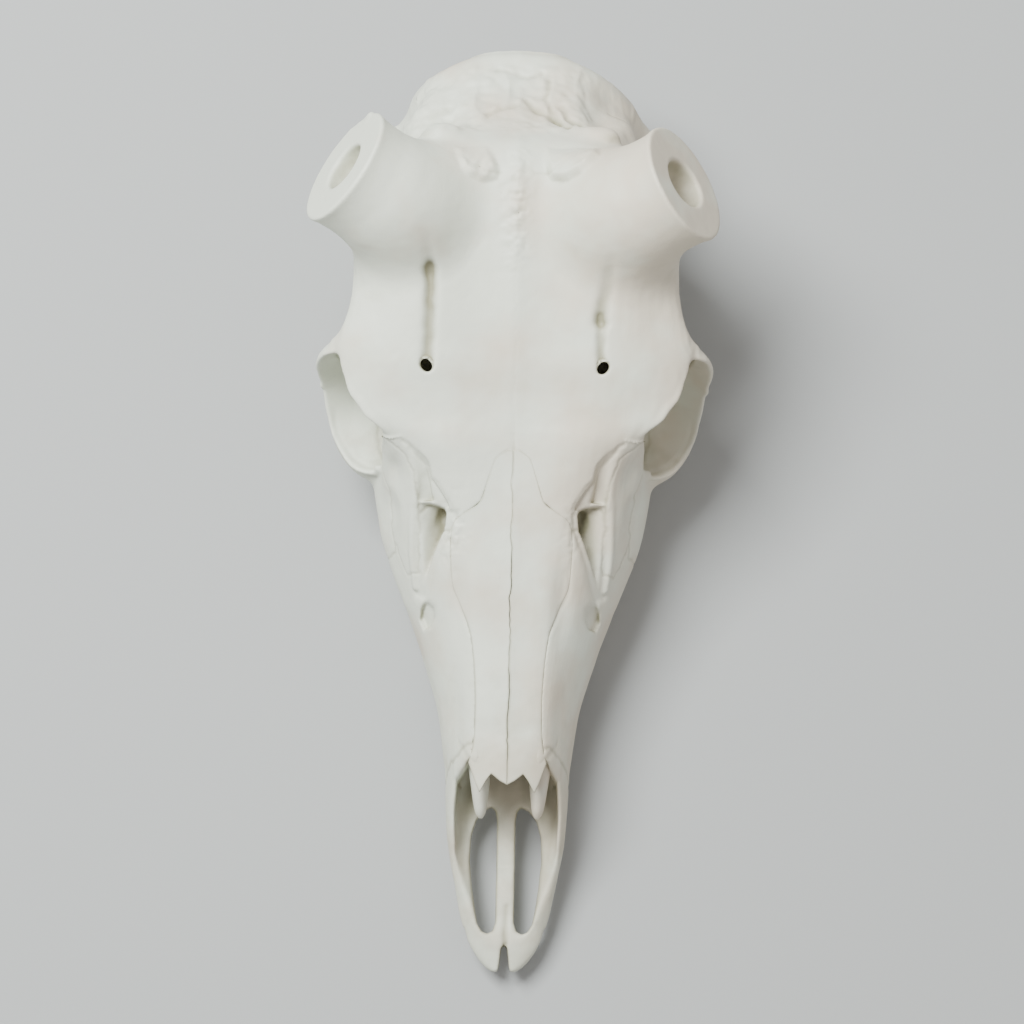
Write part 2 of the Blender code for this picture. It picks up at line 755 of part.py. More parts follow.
def fused_cranium(core, masses, hollows):
    """One smooth body from the core, the masses and the hollows, in few faces."""
    boolean(core, "UNION", masses)
    boolean(core, "DIFFERENCE", hollows)
    remesh = core.modifiers.new("even faces", "REMESH")
    remesh.mode = "VOXEL"
    remesh.voxel_size = VOXEL * MM
    smooth = core.modifiers.new("soft edges", "SMOOTH")
    smooth.iterations = SMOOTH_STEPS
    mesh = applied(core)
    dense = len(mesh.polygons) * 2
    fewer = core.modifiers.new("few faces", "DECIMATE")
    fewer.ratio = CRANIUM_FACES / dense
    mesh = applied(core)
    bpy.data.objects.remove(core)
    return largest_body(mesh)


def grow(outline, by):
    """The outline moved outwards by a distance, each corner along its two edges."""
    turn = sum(a[0] * b[1] - b[0] * a[1] for a, b in zip(outline, outline[1:] + outline[:1]))
    sign = 1 if turn > 0 else -1
    grown = []
    for n, here in enumerate(outline):
        here = Vector(here)
        back = (here - Vector(outline[n - 1])).normalized()
        ahead = (Vector(outline[(n + 1) % len(outline)]) - here).normalized()
        out_back = Vector((back.y, -back.x)) * sign
        out_ahead = Vector((ahead.y, -ahead.x)) * sign
        middle = (out_back + out_ahead).normalized()
        grown.append(tuple(here + middle * by / max(middle.dot(out_back), 0.3)))
    return grown


def region_solid(name, region, by, into):
    """One bone's share of space, grown by a distance."""
    side = region.get("side", 1)
    if region["across"] == "axis":
        cut, axis = pedicle_frame(region["pedicle"])
        profile = ((-region["length"] - by, region["radius"]), (10, region["radius"]))
        made = turned_body(name, profile, cut, axis, into, sides=12)
        return helper(made)
    low, high = region["span"]
    outline = grow(list(region["outline"]), by)
    return helper(prism(name, outline, low - by, high + by, into, side, region["across"]))


def part_bones(cranium, regions, cutters):
    """Parts the cranium into bones: each region takes its share of what the ones before left."""
    bones = {}
    rest = bpy.data.objects.new("rest", cranium)
    cutters.objects.link(rest)
    for name, region in regions.items():
        share = bpy.data.objects.new(name, rest.data.copy())
        cutters.objects.link(share)
        boolean(share, "INTERSECT", region_solid("in_" + name, region, 0.0, cutters), "MANIFOLD")
        bones[name] = largest_body(applied(share))
        bpy.data.objects.remove(share)
        boolean(rest, "DIFFERENCE", region_solid("out_" + name, region, SUTURE_GAP, cutters), "MANIFOLD")
        left = applied(rest)
        rest.modifiers.clear()
        rest.data = left
    return bones


def finish(bones):
    """Puts each bone in the scene, with a material of its own."""
    skull = collection("deer skull")
    for name, mesh in bones.items():
        mesh.transform(Matrix.Translation(point(0, CENTRING_Y, 0)))
        made = bpy.data.objects.new(name, mesh)
        skull.objects.link(made)
        material = bpy.data.materials.new(name)
        material.use_nodes = True
        shader = material.node_tree.nodes["Principled BSDF"]
        shader.inputs["Base Color"].default_value = (*BONE_COLOUR, 1)
        shader.inputs["Roughness"].default_value = 0.55
        mesh.materials.clear()
        mesh.materials.append(material)


def main():
    clear_scene()
    masses = collection("masses", hidden=True)
    hollows = collection("hollows", hidden=True)
    cuts = collection("cuts", hidden=True)
    beds = collection("beds", hidden=True)
    cutters = collection("cutters", hidden=True)
    build_masses(masses)
    build_hollows(hollows)
    build_cuts(cuts)
    cranium = fused_cranium(build_core(cutters), masses, hollows)
    bones = {}
    for label, side in SIDES.items():
        nasal = nasal_half("nasal_plate_" + label, cutters, side)
        bones["nasal_" + label] = combined(nasal.data, "DIFFERENCE", cuts, cutters)
        bones["turbinate_" + label] = turbinate("scroll_" + label, cutters, side).data
        nasal_half("nasal_bed_" + label, beds, side, SUTURE_GAP, 30)
        turbinate("turbinate_bed_" + label, beds, side, SUTURE_GAP)
    for openings in (cuts, beds):
        cranium = combined(cranium, "DIFFERENCE", openings, cutters)
    bones.update(part_bones(cranium, REGIONS, cutters))
    for label, side in SIDES.items():
        teeth = collection("teeth_" + label, hidden=True)
        build_teeth(teeth, side)
        bones["maxilla_" + label] = combined(bones["maxilla_" + label], "UNION", teeth, cutters)
    for group in (masses, hollows, cuts, beds, cutters):
        for made in group.objects:
            helper(made)
    finish(bones)


main()
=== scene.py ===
"""Deer skull with sawn antler pedicles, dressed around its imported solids.

The bone is sculpted as a field of distances on a grid: smooth sections make the cranium, rounded
masses are blended on, hollows are blended out, and the zero surface is turned into a mesh, which is
parted into bones along the same lines as the solids. The nasal bones, the scroll bones and the
cheek teeth are surfaces of their own.
Lengths in the tables are millimetres; x counts from the midline, y from the middle of the palate
towards the back, and z from the table top.
"""

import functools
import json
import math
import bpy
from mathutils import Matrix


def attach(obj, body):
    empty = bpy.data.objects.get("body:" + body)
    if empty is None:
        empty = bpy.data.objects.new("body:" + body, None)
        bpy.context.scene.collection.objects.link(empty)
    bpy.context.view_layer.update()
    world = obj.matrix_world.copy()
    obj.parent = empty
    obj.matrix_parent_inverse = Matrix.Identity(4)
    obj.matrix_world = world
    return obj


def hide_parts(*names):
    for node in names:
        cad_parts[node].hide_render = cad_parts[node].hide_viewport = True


bl_info = {
    "name": "Deer skull",
    "version": (1, 0, 0),
    "blender": (4, 5, 0),
    "location": "View3D > Sidebar > Deer skull",
    "description": "Builds a cleaned deer skull with sawn pedicles around its packed solids",
    "category": "Object",
}

import bpy
import numpy as np
from bpy.props import FloatProperty, FloatVectorProperty, PointerProperty
from mathutils import Matrix, Vector

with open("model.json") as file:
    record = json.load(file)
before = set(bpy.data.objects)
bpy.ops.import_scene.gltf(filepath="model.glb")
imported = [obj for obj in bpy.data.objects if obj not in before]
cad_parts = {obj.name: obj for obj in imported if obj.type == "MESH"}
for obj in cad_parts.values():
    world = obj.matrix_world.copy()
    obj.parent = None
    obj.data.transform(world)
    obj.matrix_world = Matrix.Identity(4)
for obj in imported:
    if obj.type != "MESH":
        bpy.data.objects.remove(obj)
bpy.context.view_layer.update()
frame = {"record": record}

MM = 0.001
# What is added to a table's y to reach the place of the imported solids.
CENTRING_Y = -3.3
SIDES = {"left": 1, "right": -1}
VOXEL = 0.7
GRID_LOW = (0.0, -202.0, 2.0)
GRID_HIGH = (98.0, 209.0, 168.0)

# Sections of the cranium: y, roof on the midline, corners (x, z) down the side, floor.
CORE = (
    (-197, 14.5, (3.5, 14), (5.5, 13), (7, 11.5), (5.5, 9), (3, 8.5), 8.5),
    (-188, 17, (8, 16.5), (11.5, 15), (14, 12.5), (12, 9), (6, 8), 8),
    (-176, 21, (12, 20), (16, 17.5), (18.5, 14), (16, 9.5), (8, 8.5), 8.5),
    (-160, 27, (16, 26), (20, 22), (22, 17), (19.5, 10), (10, 9.5), 9.5),
    (-137, 39, (20, 38), (24.3, 32), (26, 24), (23.4, 13), (12, 12), 12.5),
    (-120, 53, (17, 52), (24, 42), (26.2, 33), (24.2, 15), (13, 14), 15),
    (-113, 63.5, (16, 60.2), (21.9, 50.5), (26.3, 34.5), (24.5, 15.8), (14, 15), 15.8),
    (-110, 65, (16, 62.2), (21.8, 52), (26.4, 35), (24.6, 16), (14, 15), 16),
    (-104, 66.4, (16, 63.6), (22, 53.4), (27.3, 35.7), (25.2, 15.8), (14.2, 15), 16.7),
    (-85, 71, (16, 68), (22.5, 58), (30, 38), (27, 15), (15, 15), 19),
    (-59, 77, (18, 73.6), (28, 63), (37.8, 38), (34.5, 14), (19, 14), 23),
    (-34, 84, (23, 80.5), (35, 69), (47.3, 41), (41, 13), (22, 13), 25),
    (-8, 91, (27, 87.5), (43, 76), (55.3, 45), (47, 13), (25, 13), 27),
    (12, 96, (32, 95.5), (46, 87), (58, 46), (51, 13), (27, 13), 28),
    (25, 100, (38, 101), (51, 97), (57.5, 58), (53, 14), (28, 14), 29),
    (33, 102.3, (43, 103), (62.5, 99), (57, 57), (52.5, 15), (28, 14.5), 30.5),
    (42, 105, (50, 106), (70, 99.8), (54, 52), (52, 16), (28, 15), 32),
    (54, 110, (52, 111), (74, 101.5), (34, 70), (46, 26), (26, 20), 36),
    (64, 113, (52, 114), (73, 104), (31, 78), (26, 52), (20, 36), 41),
    (80, 118, (51, 118), (71, 103), (33, 82), (27, 55), (19, 38), 42),
    (100, 124, (50, 122), (69, 101), (46, 82), (38, 55), (22, 36), 38),
    (120, 129, (46, 127), (60, 106), (51, 82), (47, 54), (25, 32), 33),
    (140, 130.3, (36, 126.5), (49, 108), (52, 82), (52, 52), (28, 27), 28),
    (148, 126.6, (33, 123), (47, 107), (51.5, 82), (53, 52), (28.5, 26), 27),
    (157, 117.2, (29, 114.2), (44, 100.5), (51, 80), (55, 50), (29.5, 24.5), 25.5),
    (166, 110, (27, 107), (41, 96), (50.5, 75), (56, 50), (30, 24), 24.5),
    (178, 102.5, (26, 99.5), (39, 90), (50, 70), (55, 48), (30, 24), 24),
    (190, 95, (24, 93), (35, 84), (45, 66), (42, 44), (22, 30), 30),
    (200, 88, (16, 86), (23, 79), (26, 68), (20, 56), (9, 52), 52),
)
# Points down one side of a section.
CORE_RING = 40

# Bars of bone: middle (x, y, z), half height and half width. The first is the cheek bone with the
# arch behind it, the second the bar behind the eye socket.
ARCH = (
    (40, -34, 40, 6, 5),
    (50, -10, 41, 8, 5.5),
    (53.5, 8, 43, 9, 6),
    (56.5, 18.5, 45, 10, 5.6),
    (65, 29, 46, 11, 7),
    (73, 38.5, 47, 11, 7),
    (76, 50, 49, 10, 6.3),
    (75.5, 68, 54, 8, 5),
    (70.5, 88, 56, 7.5, 4),
    (67, 106, 57, 7, 4),
    (61, 124, 54, 7.5, 5),
    (52, 138, 54, 9, 7),
)
POSTORBITAL = (
    (60, 69, 103, 5, 11),
    (73, 63.5, 98, 4.5, 7),
    (80.1, 61.4, 88, 4.2, 5),
    (80.2, 61.5, 74, 4.9, 6),
    (79, 59, 66, 4.8, 7.5),
    (78, 53, 57, 4.5, 8),
)
NUCHAL_CREST = (
    (0, 195.1, 88.8, 5, 4),
    (20, 192.9, 86.6, 5, 4),
    (33, 188, 80, 5, 4),
    (43, 181, 68, 5, 4),
    (50, 175, 54, 5, 4),
    (54, 170, 40, 6, 5),
)
PARACONDYLAR = (
    (50, 172, 46, 7, 8),
    (48, 174, 30, 5.5, 8),
    (45, 175, 14, 4.5, 7.5),
    (43, 175, -3, 4, 6),
)
PTERYGOID = (
    (24, 56, 30, 12, 4),
    (19, 74, 30, 13, 3),
    (16, 88, 27, 13, 2.8),
    (15, 100, 26, 9, 2.8),
)
TURBINATE = (
    (17.5, -84, 50, 11, 5),
    (15, -100, 49, 10, 5),
    (13.3, -114, 46.5, 8.5, 4.4),
    (12.9, -124.5, 42.5, 5.4, 3.2),
    (12.7, -129, 40.6, 3.3, 2.3),
    (12.6, -131.4, 39.6, 1.1, 1.0),
)
# The bars that are part of the skull, with how widely each blends into it.
BARS = ((ARCH, 6), (POSTORBITAL, 6), (NUCHAL_CREST, 7), (PARACONDYLAR, 5), (PTERYGOID, 4))
# How much further out than its table says each scroll bone hangs.
TURBINATE_SHIFT = {"left": 0.7, "right": -1.4}
# Rounded masses: middle and half sizes.
LUMPS = (
    ((62, 37, 46.5), (15, 19, 10.5)),
    ((57, 128, 53), (16, 14, 8)),
    ((31, 151, 23), (10, 15, 13)),
    ((50, 153, 44), (14, 7, 7)),
    ((56, 168, 42), (8, 10, 15)),
    ((17, 193, 36), (11.5, 11, 15)),
    ((36, 150, 84), (17, 30, 22)),
)
LUMP_BLEND = 6
# How far round a bar its distance is worked out, and what counts as the distance beyond.
BAR_MARGIN = 12
BAR_FAR = 60

# Eye socket: its middle, the way it faces, its depth, and its rim as points (x, y, z) and thickness.
ORBIT_CENTRE = (69.0, 38.5, 77.0)
ORBIT_NORMAL = (0.776, -0.527, 0.346)
ORBIT_DEPTH = 33.0
# Power of the hollow's shape: 2 is an egg, and more has steeper walls.
ORBIT_STEEPNESS = 2.3
# How far out of the rim's line its bead lies, as a share of its thickness; how widely the bead
# blends in; and how widely the socket's edge is rounded.
ORBIT_BEAD = 0.4
ORBIT_BEAD_BLEND = 3.0
ORBIT_EDGE = 1.4
ORBIT_RIM = (
    (75, 60.6, 99.2, 0.3),
    (71.6, 54.5, 100, 0.4),
    (70.2, 47, 99.6, 0.8),
    (69, 42.6, 99.5, 0.9),
    (65.8, 38.8, 99.2, 0.9),
    (63.4, 34.6, 98.8, 0.9),
    (60.2, 32.2, 98.2, 0.9),
    (56.4, 29.4, 97, 0.8),
    (54, 29, 95, 0.7),
    (52.4, 28, 91, 0.5),
    (52.7, 25.8, 80, 0.5),
    (53.8, 22.8, 70, 0.6),
    (56.5, 19.8, 62.5, 1.1),
    (61.5, 18.4, 58, 1.7),
    (67.5, 20.2, 56, 1.8),
    (72.6, 24.4, 55.5, 1.5),
    (78.3, 34.5, 56, 1.3),
    (80.3, 43, 58.5, 1.3),
    (81.9, 52.5, 65, 1.3),
    (84.2, 57.3, 74.5, 1.3),
    (84, 59.5, 84, 1.3),
    (81, 61.2, 93.5, 1.1),
)
# Thin ridges ahead of the eye socket, as bars, and how widely they blend in.
RIDGE_BLEND = 2.2
SPINE_BLEND = 2
LACRIMAL_RIDGE = (
    (48.5, 24.5, 92.5, 1, 1),
    (46, 22, 91.5, 1.3, 1.3),
    (43.6, 18.5, 90, 1.5, 1.5),
    (42, 13, 87.5, 1.6, 1.6),
    (41.6, 7, 84, 1.6, 1.6),
    (41.9, 0, 79.5, 1.6, 1.6),
    (42.4, -10, 73.5, 1.6, 1.6),
    (42.6, -21, 66.3, 1.5, 1.5),
    (41, -33, 58.5, 1.2, 1.2),
)
LACRIMAL_SPINE = ((59, 18.8, 61, 1.3, 1.3), (54.5, 17.5, 64, 1.2, 1.1), (50, 15, 67.5, 0.7, 0.7))
# Wide shallow pits: how widely their edges are rounded; middle, half sizes and the way they face.
PIT_EDGE = 3
PITS = (
    ((60, -2, 68), (11, 13, 9), (0.85, -0.2, 0.45)),
    ((64, 112, 92), (16, 20, 11), (0.75, 0.1, 0.6)),
)
# Hollows sunk from the outer surface, seen from above: outline, depth, softness of the edge. A depth
# of five numbers is the depth at a place (x, y) and what it gains for each millimetre of x and y.
SUNK = (
    (((46, 24), (43.5, 20.9), (41, 19.4), (37.9, 16.8), (35.9, 14.5), (35.2, 11.2), (34.8, 8.8),
      (33, 6.6), (30.8, 3.6), (28.6, 0.1), (27.4, -3), (34, -1), (41, -1), (42, 9), (44, 18)),
     (1.5, 36, 10, -0.22, 0), 0.7),
    (((43.6, 20.3), (41, 18.3), (38.6, 15.4), (36.6, 12), (35.6, 8), (34.6, 3), (33.6, 0.4), (40.4, 0.4),
      (40.4, 8), (41, 14), (42.6, 18.6)), (3.8, 37, 13, -0.7, -0.03), 2.4),
    (((28.4, -3), (26.2, -6), (27, -12), (30.2, -19), (33, -26), (35, -33), (37, -38), (40, -36),
      (41.4, -28), (42, -15), (41.8, -3)), (1.7, 30, -8, -0.12, 0), 4.0),
    (((40.6, -0.8), (35.3, -1.1), (31.2, -2.2), (28.8, -3.3), (28, -5.4), (28.7, -10.5), (31.6, -17.4),
      (34, -23.4), (35.8, -28.5), (37.6, -32.5), (39.6, -33.5), (41, -26), (41.2, -12)),
     (12.6, 28, -5, -0.92, 0.08), 0.9),
    (((35.4, -41), (33.2, -43.5), (32.8, -47.3), (34.4, -50.4), (37, -50.2), (38.5, -46.7),
      (38.4, -42.8), (37, -40.6)), (2.6,), 2.2),
)
# Pockets: how widely their edges are rounded, and middle and half sizes. One lies under the upper
# inner corner of the gap ahead of the eye socket, the other at the upper rear corner of the socket.
POCKET_EDGE = 1.5
POCKETS = (
    ((28.4, -8.5, 76.5), (4.4, 7, 4.4)),
    ((78.3, 57, 100.5), (3.2, 3.6, 4)),
)
# Soft swellings (centre, spread, height), the same on both sides.
SWELLINGS = (
    ((22, -42, 77), (4.5, 18, 12), -2.2),
    ((49.5, 15.5, 79), (4.5, 8, 10), -2.8),
    ((51, -2, 62), (5, 12, 8), -1.2),
    ((0, 128, 128), (13, 40, 20), 1.1),
    ((0, 70, 114), (12, 40, 20), 0.7),
    ((19, 85, 118), (9, 30, 20), -0.8),
    ((30, 26, 100), (14, 16, 14), 0.8),
)
# Soft swellings that one side has alone or stronger.
ODD_SWELLINGS = (
    ((-33.5, 154.5, 119), (8, 4.5, 8), 8.5),
    ((36.5, 155.5, 118), (9, 5, 8), 8.5),
    ((-34, 165, 106), (9, 5, 8), -3.5),
    ((38, 168, 102), (8, 6, 9), -7.5),
    ((41, 176, 93), (8, 9, 12), -6),
    ((-43, 172, 85), (7, 9, 12), -1.6),
    ((49, 161, 100), (5, 6, 10), -2.5),
    ((-50, 177, 58), (9, 12, 24), -3.4),
)

# Pedicles: the middle of the cut face, the way it faces, the section's length the level way over its
# width, and the half sizes of the hollow in the face.
PEDICLES = {
    "left": {
        "cut": (70.7, 127.6, 140),
        "axis": (0.796, 0.317, 0.515),
        "stretch": 0.98,
        "hollow": (10.8, 12.5),
    },
    "right": {
        "cut": (-73.9, 132.8, 138.5),
        "axis": (-0.793, 0.404, 0.456),
        "stretch": 0.99,
        "hollow": (10.6, 11.5),
    },
}
# Depth below the cut face and radius there; it runs past the face, where the saw takes it off.
PEDICLE_PROFILE = (
    (64, 4),
    (54, 15),
    (44, 22.5),
    (34, 26.2),
    (24, 27),
    (12, 25.9),
    (4, 26.3),
    (0, 27.2),
    (-6, 28),
)
PEDICLE_BLEND = 18
PEDICLE_HOLLOW_DEPTH = 11.0
PEDICLE_HOLLOW_STEEPNESS = 2.8
# Body that the saw takes off: distance beyond the cut face and radius.
SAWN_OFF = ((0, 45), (30, 45))
SAWN_EDGE = 1.8
# The part of the skull that counts as a pedicle: how far below the face, and how far from its axis.
PEDICLE_LENGTH = 24
PEDICLE_REACH = 34

# Nasal cavity: y, floor, top, half width at the floor and at the top.
NASAL_CAVITY = (
    (-188, 20, 60, 7, 7),
    (-172, 16.8, 70, 13, 13),
    (-155, 17.5, 80, 17, 17.5),
    (-137, 18.5, 90, 20, 21.5),
    (-124, 20, 90, 20.5, 21),
    (-113, 21, 58.5, 20.5, 12.5),
    (-85, 24, 65, 21, 12.5),
    (-62, 28, 70, 19, 11),
)
# How widely its inner corners are rounded, and its edges.
CAVITY_EDGE = 6
CAVITY_BLEND = 2
# Opening of the nose from above, the left half; its floor, and how it is rounded.
NOSE_OPENING = (
    (0, -119.7),
    (6.9, -115),
    (11.8, -122.8),
    (16.8, -110),
    (21.5, -116),
    (22.3, -130),
    (21.8, -145),
    (20, -160),
    (16, -174),
    (11, -182),
    (0, -184),
)
NOSE_FLOOR = 21.5
NOSE_CEILING = 100
NOSE_EDGE = 6
NOSE_BLEND = 3.2
# Long opening in the nose floor, notch at the tip and what is trimmed off the tip, from above.
FISSURE = (
    (6.6, -124.3),
    (9.8, -125.8),
    (13.2, -130),
    (15.3, -137),
    (15.8, -148),
    (14.6, -160),
    (13, -170.5),
    (12, -175.8),
    (10, -179),
    (7.6, -180),
    (5.2, -178.8),
    (4, -175),
    (4.1, -130),
    (4.9, -126),
)
TIP_NOTCH = ((0, -203), (2.7, -203), (2.1, -192), (1.4, -186), (0, -184))
TIP_TRIM = (
    (2, -194.6),
    (2.8, -196),
    (4, -196.3),
    (5.6, -195.8),
    (8, -194.2),
    (11, -191.2),
    (14, -187),
    (16.2, -182.8),
    (17.8, -177.5),
    (30, -177.5),
    (30, -206),
    (0, -206),
    (0, -194.6),
)
# What is cut straight down: outline, lowest and highest z, softness of the edge.
CUTS = ((FISSURE, -20, 34, 1.5), (TIP_TRIM, -20, 60, 1.5), (TIP_NOTCH, -20, 60, 1.0))
# The air way behind the palate and the hole for the spinal cord: middle, half sizes, softness.
MIDLINE_HOLLOWS = (((0, 84, 22), (12, 26, 15), 3), ((0, 197, 38), (11, 20, 9), 2))
# Round holes: radius, start and end. The first two make the oval hole in the forehead, the third is
# the canal that it leads to, and the last the ear's.
HOLES = (
    (2.1, (37, 48.3, 130), (37.2, 55.8, 99)),
    (2.1, (38, 49.6, 130), (38.2, 57.1, 99)),
    (2.5, (37.3, 56.8, 100.5), (54, 52, 90)),
    (3.5, (50, 153, 44), (70, 153, 44)),
)
HOLE_EDGE = 1.2

# Outlines of the bones' shares of space: seen from the side in (y, z), or from above in (distance
# from the midline, y).
PREMAXILLA_OUTLINE = ((-230, -10), (-127, -10), (-103, 62), (-103, 90), (-230, 90))
ZYGOMATIC_OUTLINE = ((51, -18), (120, -18), (120, 97), (62, 97), (58, 60), (60, 34), (54, 14))
LACRIMAL_OUTLINE = ((40, -28), (90, -28), (90, 34), (55, 34), (46, 20), (40, 2))
TEMPORAL_OUTLINE = ((34, 106), (56, 97.3), (120, 97.3), (120, 167), (19, 167), (19, 136), (34, 134))
OCCIPITAL_OUTLINE = ((188, 130), (240, 130), (240, -10), (153, -10), (153, 36), (167.3, 42), (167.3, 78))
PARIETAL_OUTLINE = ((0, 133), (14, 133), (32, 143), (42, 153), (64, 153), (64, 240), (0, 240))
SPHENOID_OUTLINE = ((62.3, -10), (153, -10), (153, 60), (62.3, 60))
FRONTAL_OUTLINE = ((-12, 79), (24, 79), (46, 60.3), (240, 60.3), (240, 200), (-12, 200))
# The shares after the pedicles', in the order in which they are taken, with the heights between
# which they hold. What is left over is the maxilla's.
BONE_SHARES = (
    ("premaxilla", "side", PREMAXILLA_OUTLINE, -10, 200),
    ("zygomatic", "top", ZYGOMATIC_OUTLINE, 15, 68),
    ("lacrimal", "top", LACRIMAL_OUTLINE, 57, 93),
    ("temporal", "top", TEMPORAL_OUTLINE, -10, 82),
    ("occipital", "side", OCCIPITAL_OUTLINE, -10, 200),
    ("parietal", "top", PARIETAL_OUTLINE, 60, 200),
    ("sphenoid", "side", SPHENOID_OUTLINE, -10, 200),
    ("frontal", "side", FRONTAL_OUTLINE, -10, 200),
)
SINGLE_BONES = ("parietal", "sphenoid", "occipital")
# How far the lines between the shares waver, and over what length.
SUTURE_WAVER = 0.9
SUTURE_WAVE = 3.2
# Thickness of a bone's shell, and the least where the bone is thin.
SHELL_THICKNESS = 1.5
THINNEST_SHELL = 0.35
# The lining's points are merged in blocks of so many voxels.
LINING_BLOCK = 2.6

# Nasal bones: y, height of the ridge, height of the edge, half width that the edge height is for.
NASALS = (
    (-122.5, 63.5, 59.5, 15.2),
    (-110, 66, 62.5, 15.4),
    (-85, 71.5, 68.5, 15.6),
    (-60, 77.5, 74.5, 16),
    (-42, 82, 79.5, 20),
    (-22, 87.5, 84, 25.5),
    (-6, 91.5, 88.5, 23),
    (8, 95, 93.5, 15),
    (20, 98.3, 98, 10),
)
# Power of x with which the nasal roof falls off where it is free.
NASAL_ROUNDNESS = 2.4
# A nasal bone from above: its zigzag front end from the midline, and its outer edge to the back.
NASAL_FRONT = (
    (0.12, -119.7),
    (3.2, -118),
    (6.9, -115),
    (9.2, -118),
    (11.8, -122.8),
    (13.6, -119),
    (16.8, -110),
)
NASAL_SIDE = (
    (16.8, -110),
    (14.9, -101),
    (14.4, -84.4),
    (15.4, -67.6),
    (17.2, -55.5),
    (21.5, -44),
    (25, -36),
    (26, -26),
    (26.2, -16),
    (24.6, -9),
    (18.5, -5),
    (13.6, -1.2),
    (10.3, 8.4),
    (7.5, 16.2),
    (2.5, 20),
)
# Corners of the space in which the roof that they lie on is looked up.
ROOF_WINDOW = ((-1, -125, 40), (32, 26, 120))
NASAL_THICKNESS = 3.0
NASAL_TIP_THICKNESS = 1.3
NASAL_EDGE = 0.35
# Gap between the nasal bones: y, width.
NASAL_GAP = (
    (-122, 0.1),
    (-95, 0.24),
    (-74, 0.24),
    (-70, 0.06),
    (-56, 0.06),
    (-50, 0.22),
    (-26, 0.22),
    (-20, 0.04),
)
# Bed that the nasal bones lie in: how much narrower than they it is, its depth and its softness.
BED_MARGIN = 0.4
BED_DEPTH = (2.2,)
BED_BLEND = 0.6

# Cheek teeth, front to back, three premolars and three molars: length along the row, width, lobes.
TEETH = ((15.5, 13, 1), (15.5, 15, 1), (14.5, 17, 1), (20.5, 20, 2), (24, 22, 2), (23, 20.5, 2))
TOOTH_ROW_START = (27.5, -60)
TOOTH_ROW_END = (40.5, 53)
# How far the row bows outwards in its middle, and the gap between two crowns.
TOOTH_ROW_BOW = 2.5
CROWN_GAP = 0.24
# A crown's girth at heights above the table, and of the rings across its chewing face.
CROWN_LEVELS = ((21, 0.86), (15, 0.93), (9, 1.0), (5, 0.99), (2.2, 0.965), (1.2, 0.93))
CHEWING_RINGS = (0.88, 0.8, 0.72, 0.63, 0.54, 0.45, 0.36, 0.27, 0.18, 0.09, 0.02)
CROWN_POINTS = 96

# Grooves seen from above: points (x, y) with x from the midline or, on one side alone, signed;
# half width, depth at the start, depth at the end.
GROOVES_BOTH = (
    (((47.5, 23.3), (45, 21.8), (42.3, 18.4), (36.3, 13.2), (35, 8.3), (32, 5.8), (28.4, 0.4),
      (25.8, -4)), 0.8, 0.5, 0.3),
    (((25.6, -10), (26, -22), (25.4, -36.5), (21.8, -44.5), (17.2, -55.5)), 0.9, 0.3, 0.3),
    (((28.5, -76), (26.5, -88), (23.7, -97), (17.5, -107.5)), 0.9, 0.15, 0.35),
)
GROOVES_ONE = (
    (((37.2, 55), (36.6, 66), (36.2, 74)), 2.0, 2.2, 0.9),
    (((36.4, 72), (37.2, 79), (38.8, 85.5), (39.2, 93)), 3.0, 2.6, 0.4),
    (((-37, 55), (-36.6, 70), (-36.3, 84), (-36.5, 91)), 2.7, 2.2, 2.7),
    (((-36.5, 90), (-37.2, 98), (-38.5, 106)), 2.9, 0.9, 0.1),
    (((3, 173.5), (7, 169.5), (13.9, 163.5), (21, 159)), 1.8, 1.2, 2.2),
    (((13, 184), (11.5, 175.5), (13.5, 168.5), (17, 162)), 1.7, 1.0, 1.0),
    (((18.7, 170), (20.9, 164), (26, 160.5)), 1.8, 0.8, 2.0),
    (((-14, 164.5), (-10.8, 166.8), (-4.9, 169.3), (0.5, 171.5)), 1.6, 1.1, 0.6),
    (((-9, 190), (-2, 188), (3.5, 185.5), (9, 188)), 1.6, 0.5, 0.9),
    (((0.5, -184), (0.8, -168)), 1.3, 0.9, 0.5),
)
# Rugged lobes on the crown, seen from above.
LOBES = (
    ((-28, 146), (-27.3, 139), (-25, 133), (-21.7, 130.5), (-17.2, 128.8), (-12, 128.5), (-8.5, 130),
     (-8, 134), (-10, 141), (-13, 147)),
    ((10, 146), (10.8, 137), (12.8, 131), (15, 129.2), (22.3, 128.6), (27.5, 130.6), (31.2, 133.8),
     (35, 138.8), (35.5, 146)),
)
LEFT_LOBE_HEIGHT = 3.4
RIGHT_LOBE_HEIGHT = 2.2
# Crest along the midline: y and height, y and half width.
CREST_HEIGHTS = ((15, 0.2), (40, 0.6), (60, 0.8), (85, 1.0), (105, 1.3), (122, 1.7), (140, 1.2), (152, 0))
CREST_WIDTHS = ((20, 6), (90, 5), (120, 4.5))

# Rough patch where the nasal, frontal and upper jaw bones meet: place, spread, depth on each side.
PATCH_PLACE = (25, -14)
PATCH_SPREAD = (4.5, 12)
LEFT_PATCH_DEPTH = 0.35
RIGHT_PATCH_DEPTH = 0.85

# Sizes of the surface's unevenness, and the slanting ways in which the lobes' streaks are drawn out.
FINE_SIZE = 1.7
MIDDLE_SIZE = 3.4
BROAD_SIZE = 9.0
FOLD_SIZE = 7.5
WOBBLE_SIZE = 5.0
STREAK_SIZE = 2.2
STREAK_WAYS = ((0.8, 0.2, 0), (-0.6, 0.3, 0), (0, 0, 0.3))

# Shelter: how many directions are tried, how far out along each, and from how far off the surface.
SHELTER_WAYS = 26
SHELTER_REACHES = (4.0, 8.0, 13.0, 18.0, 24.0)
SHELTER_START = 1.2

# Colour sockets of a Mix node: its two inputs and its output.
FIRST_COLOUR, SECOND_COLOUR, MIXED_COLOUR = 6, 7, 2

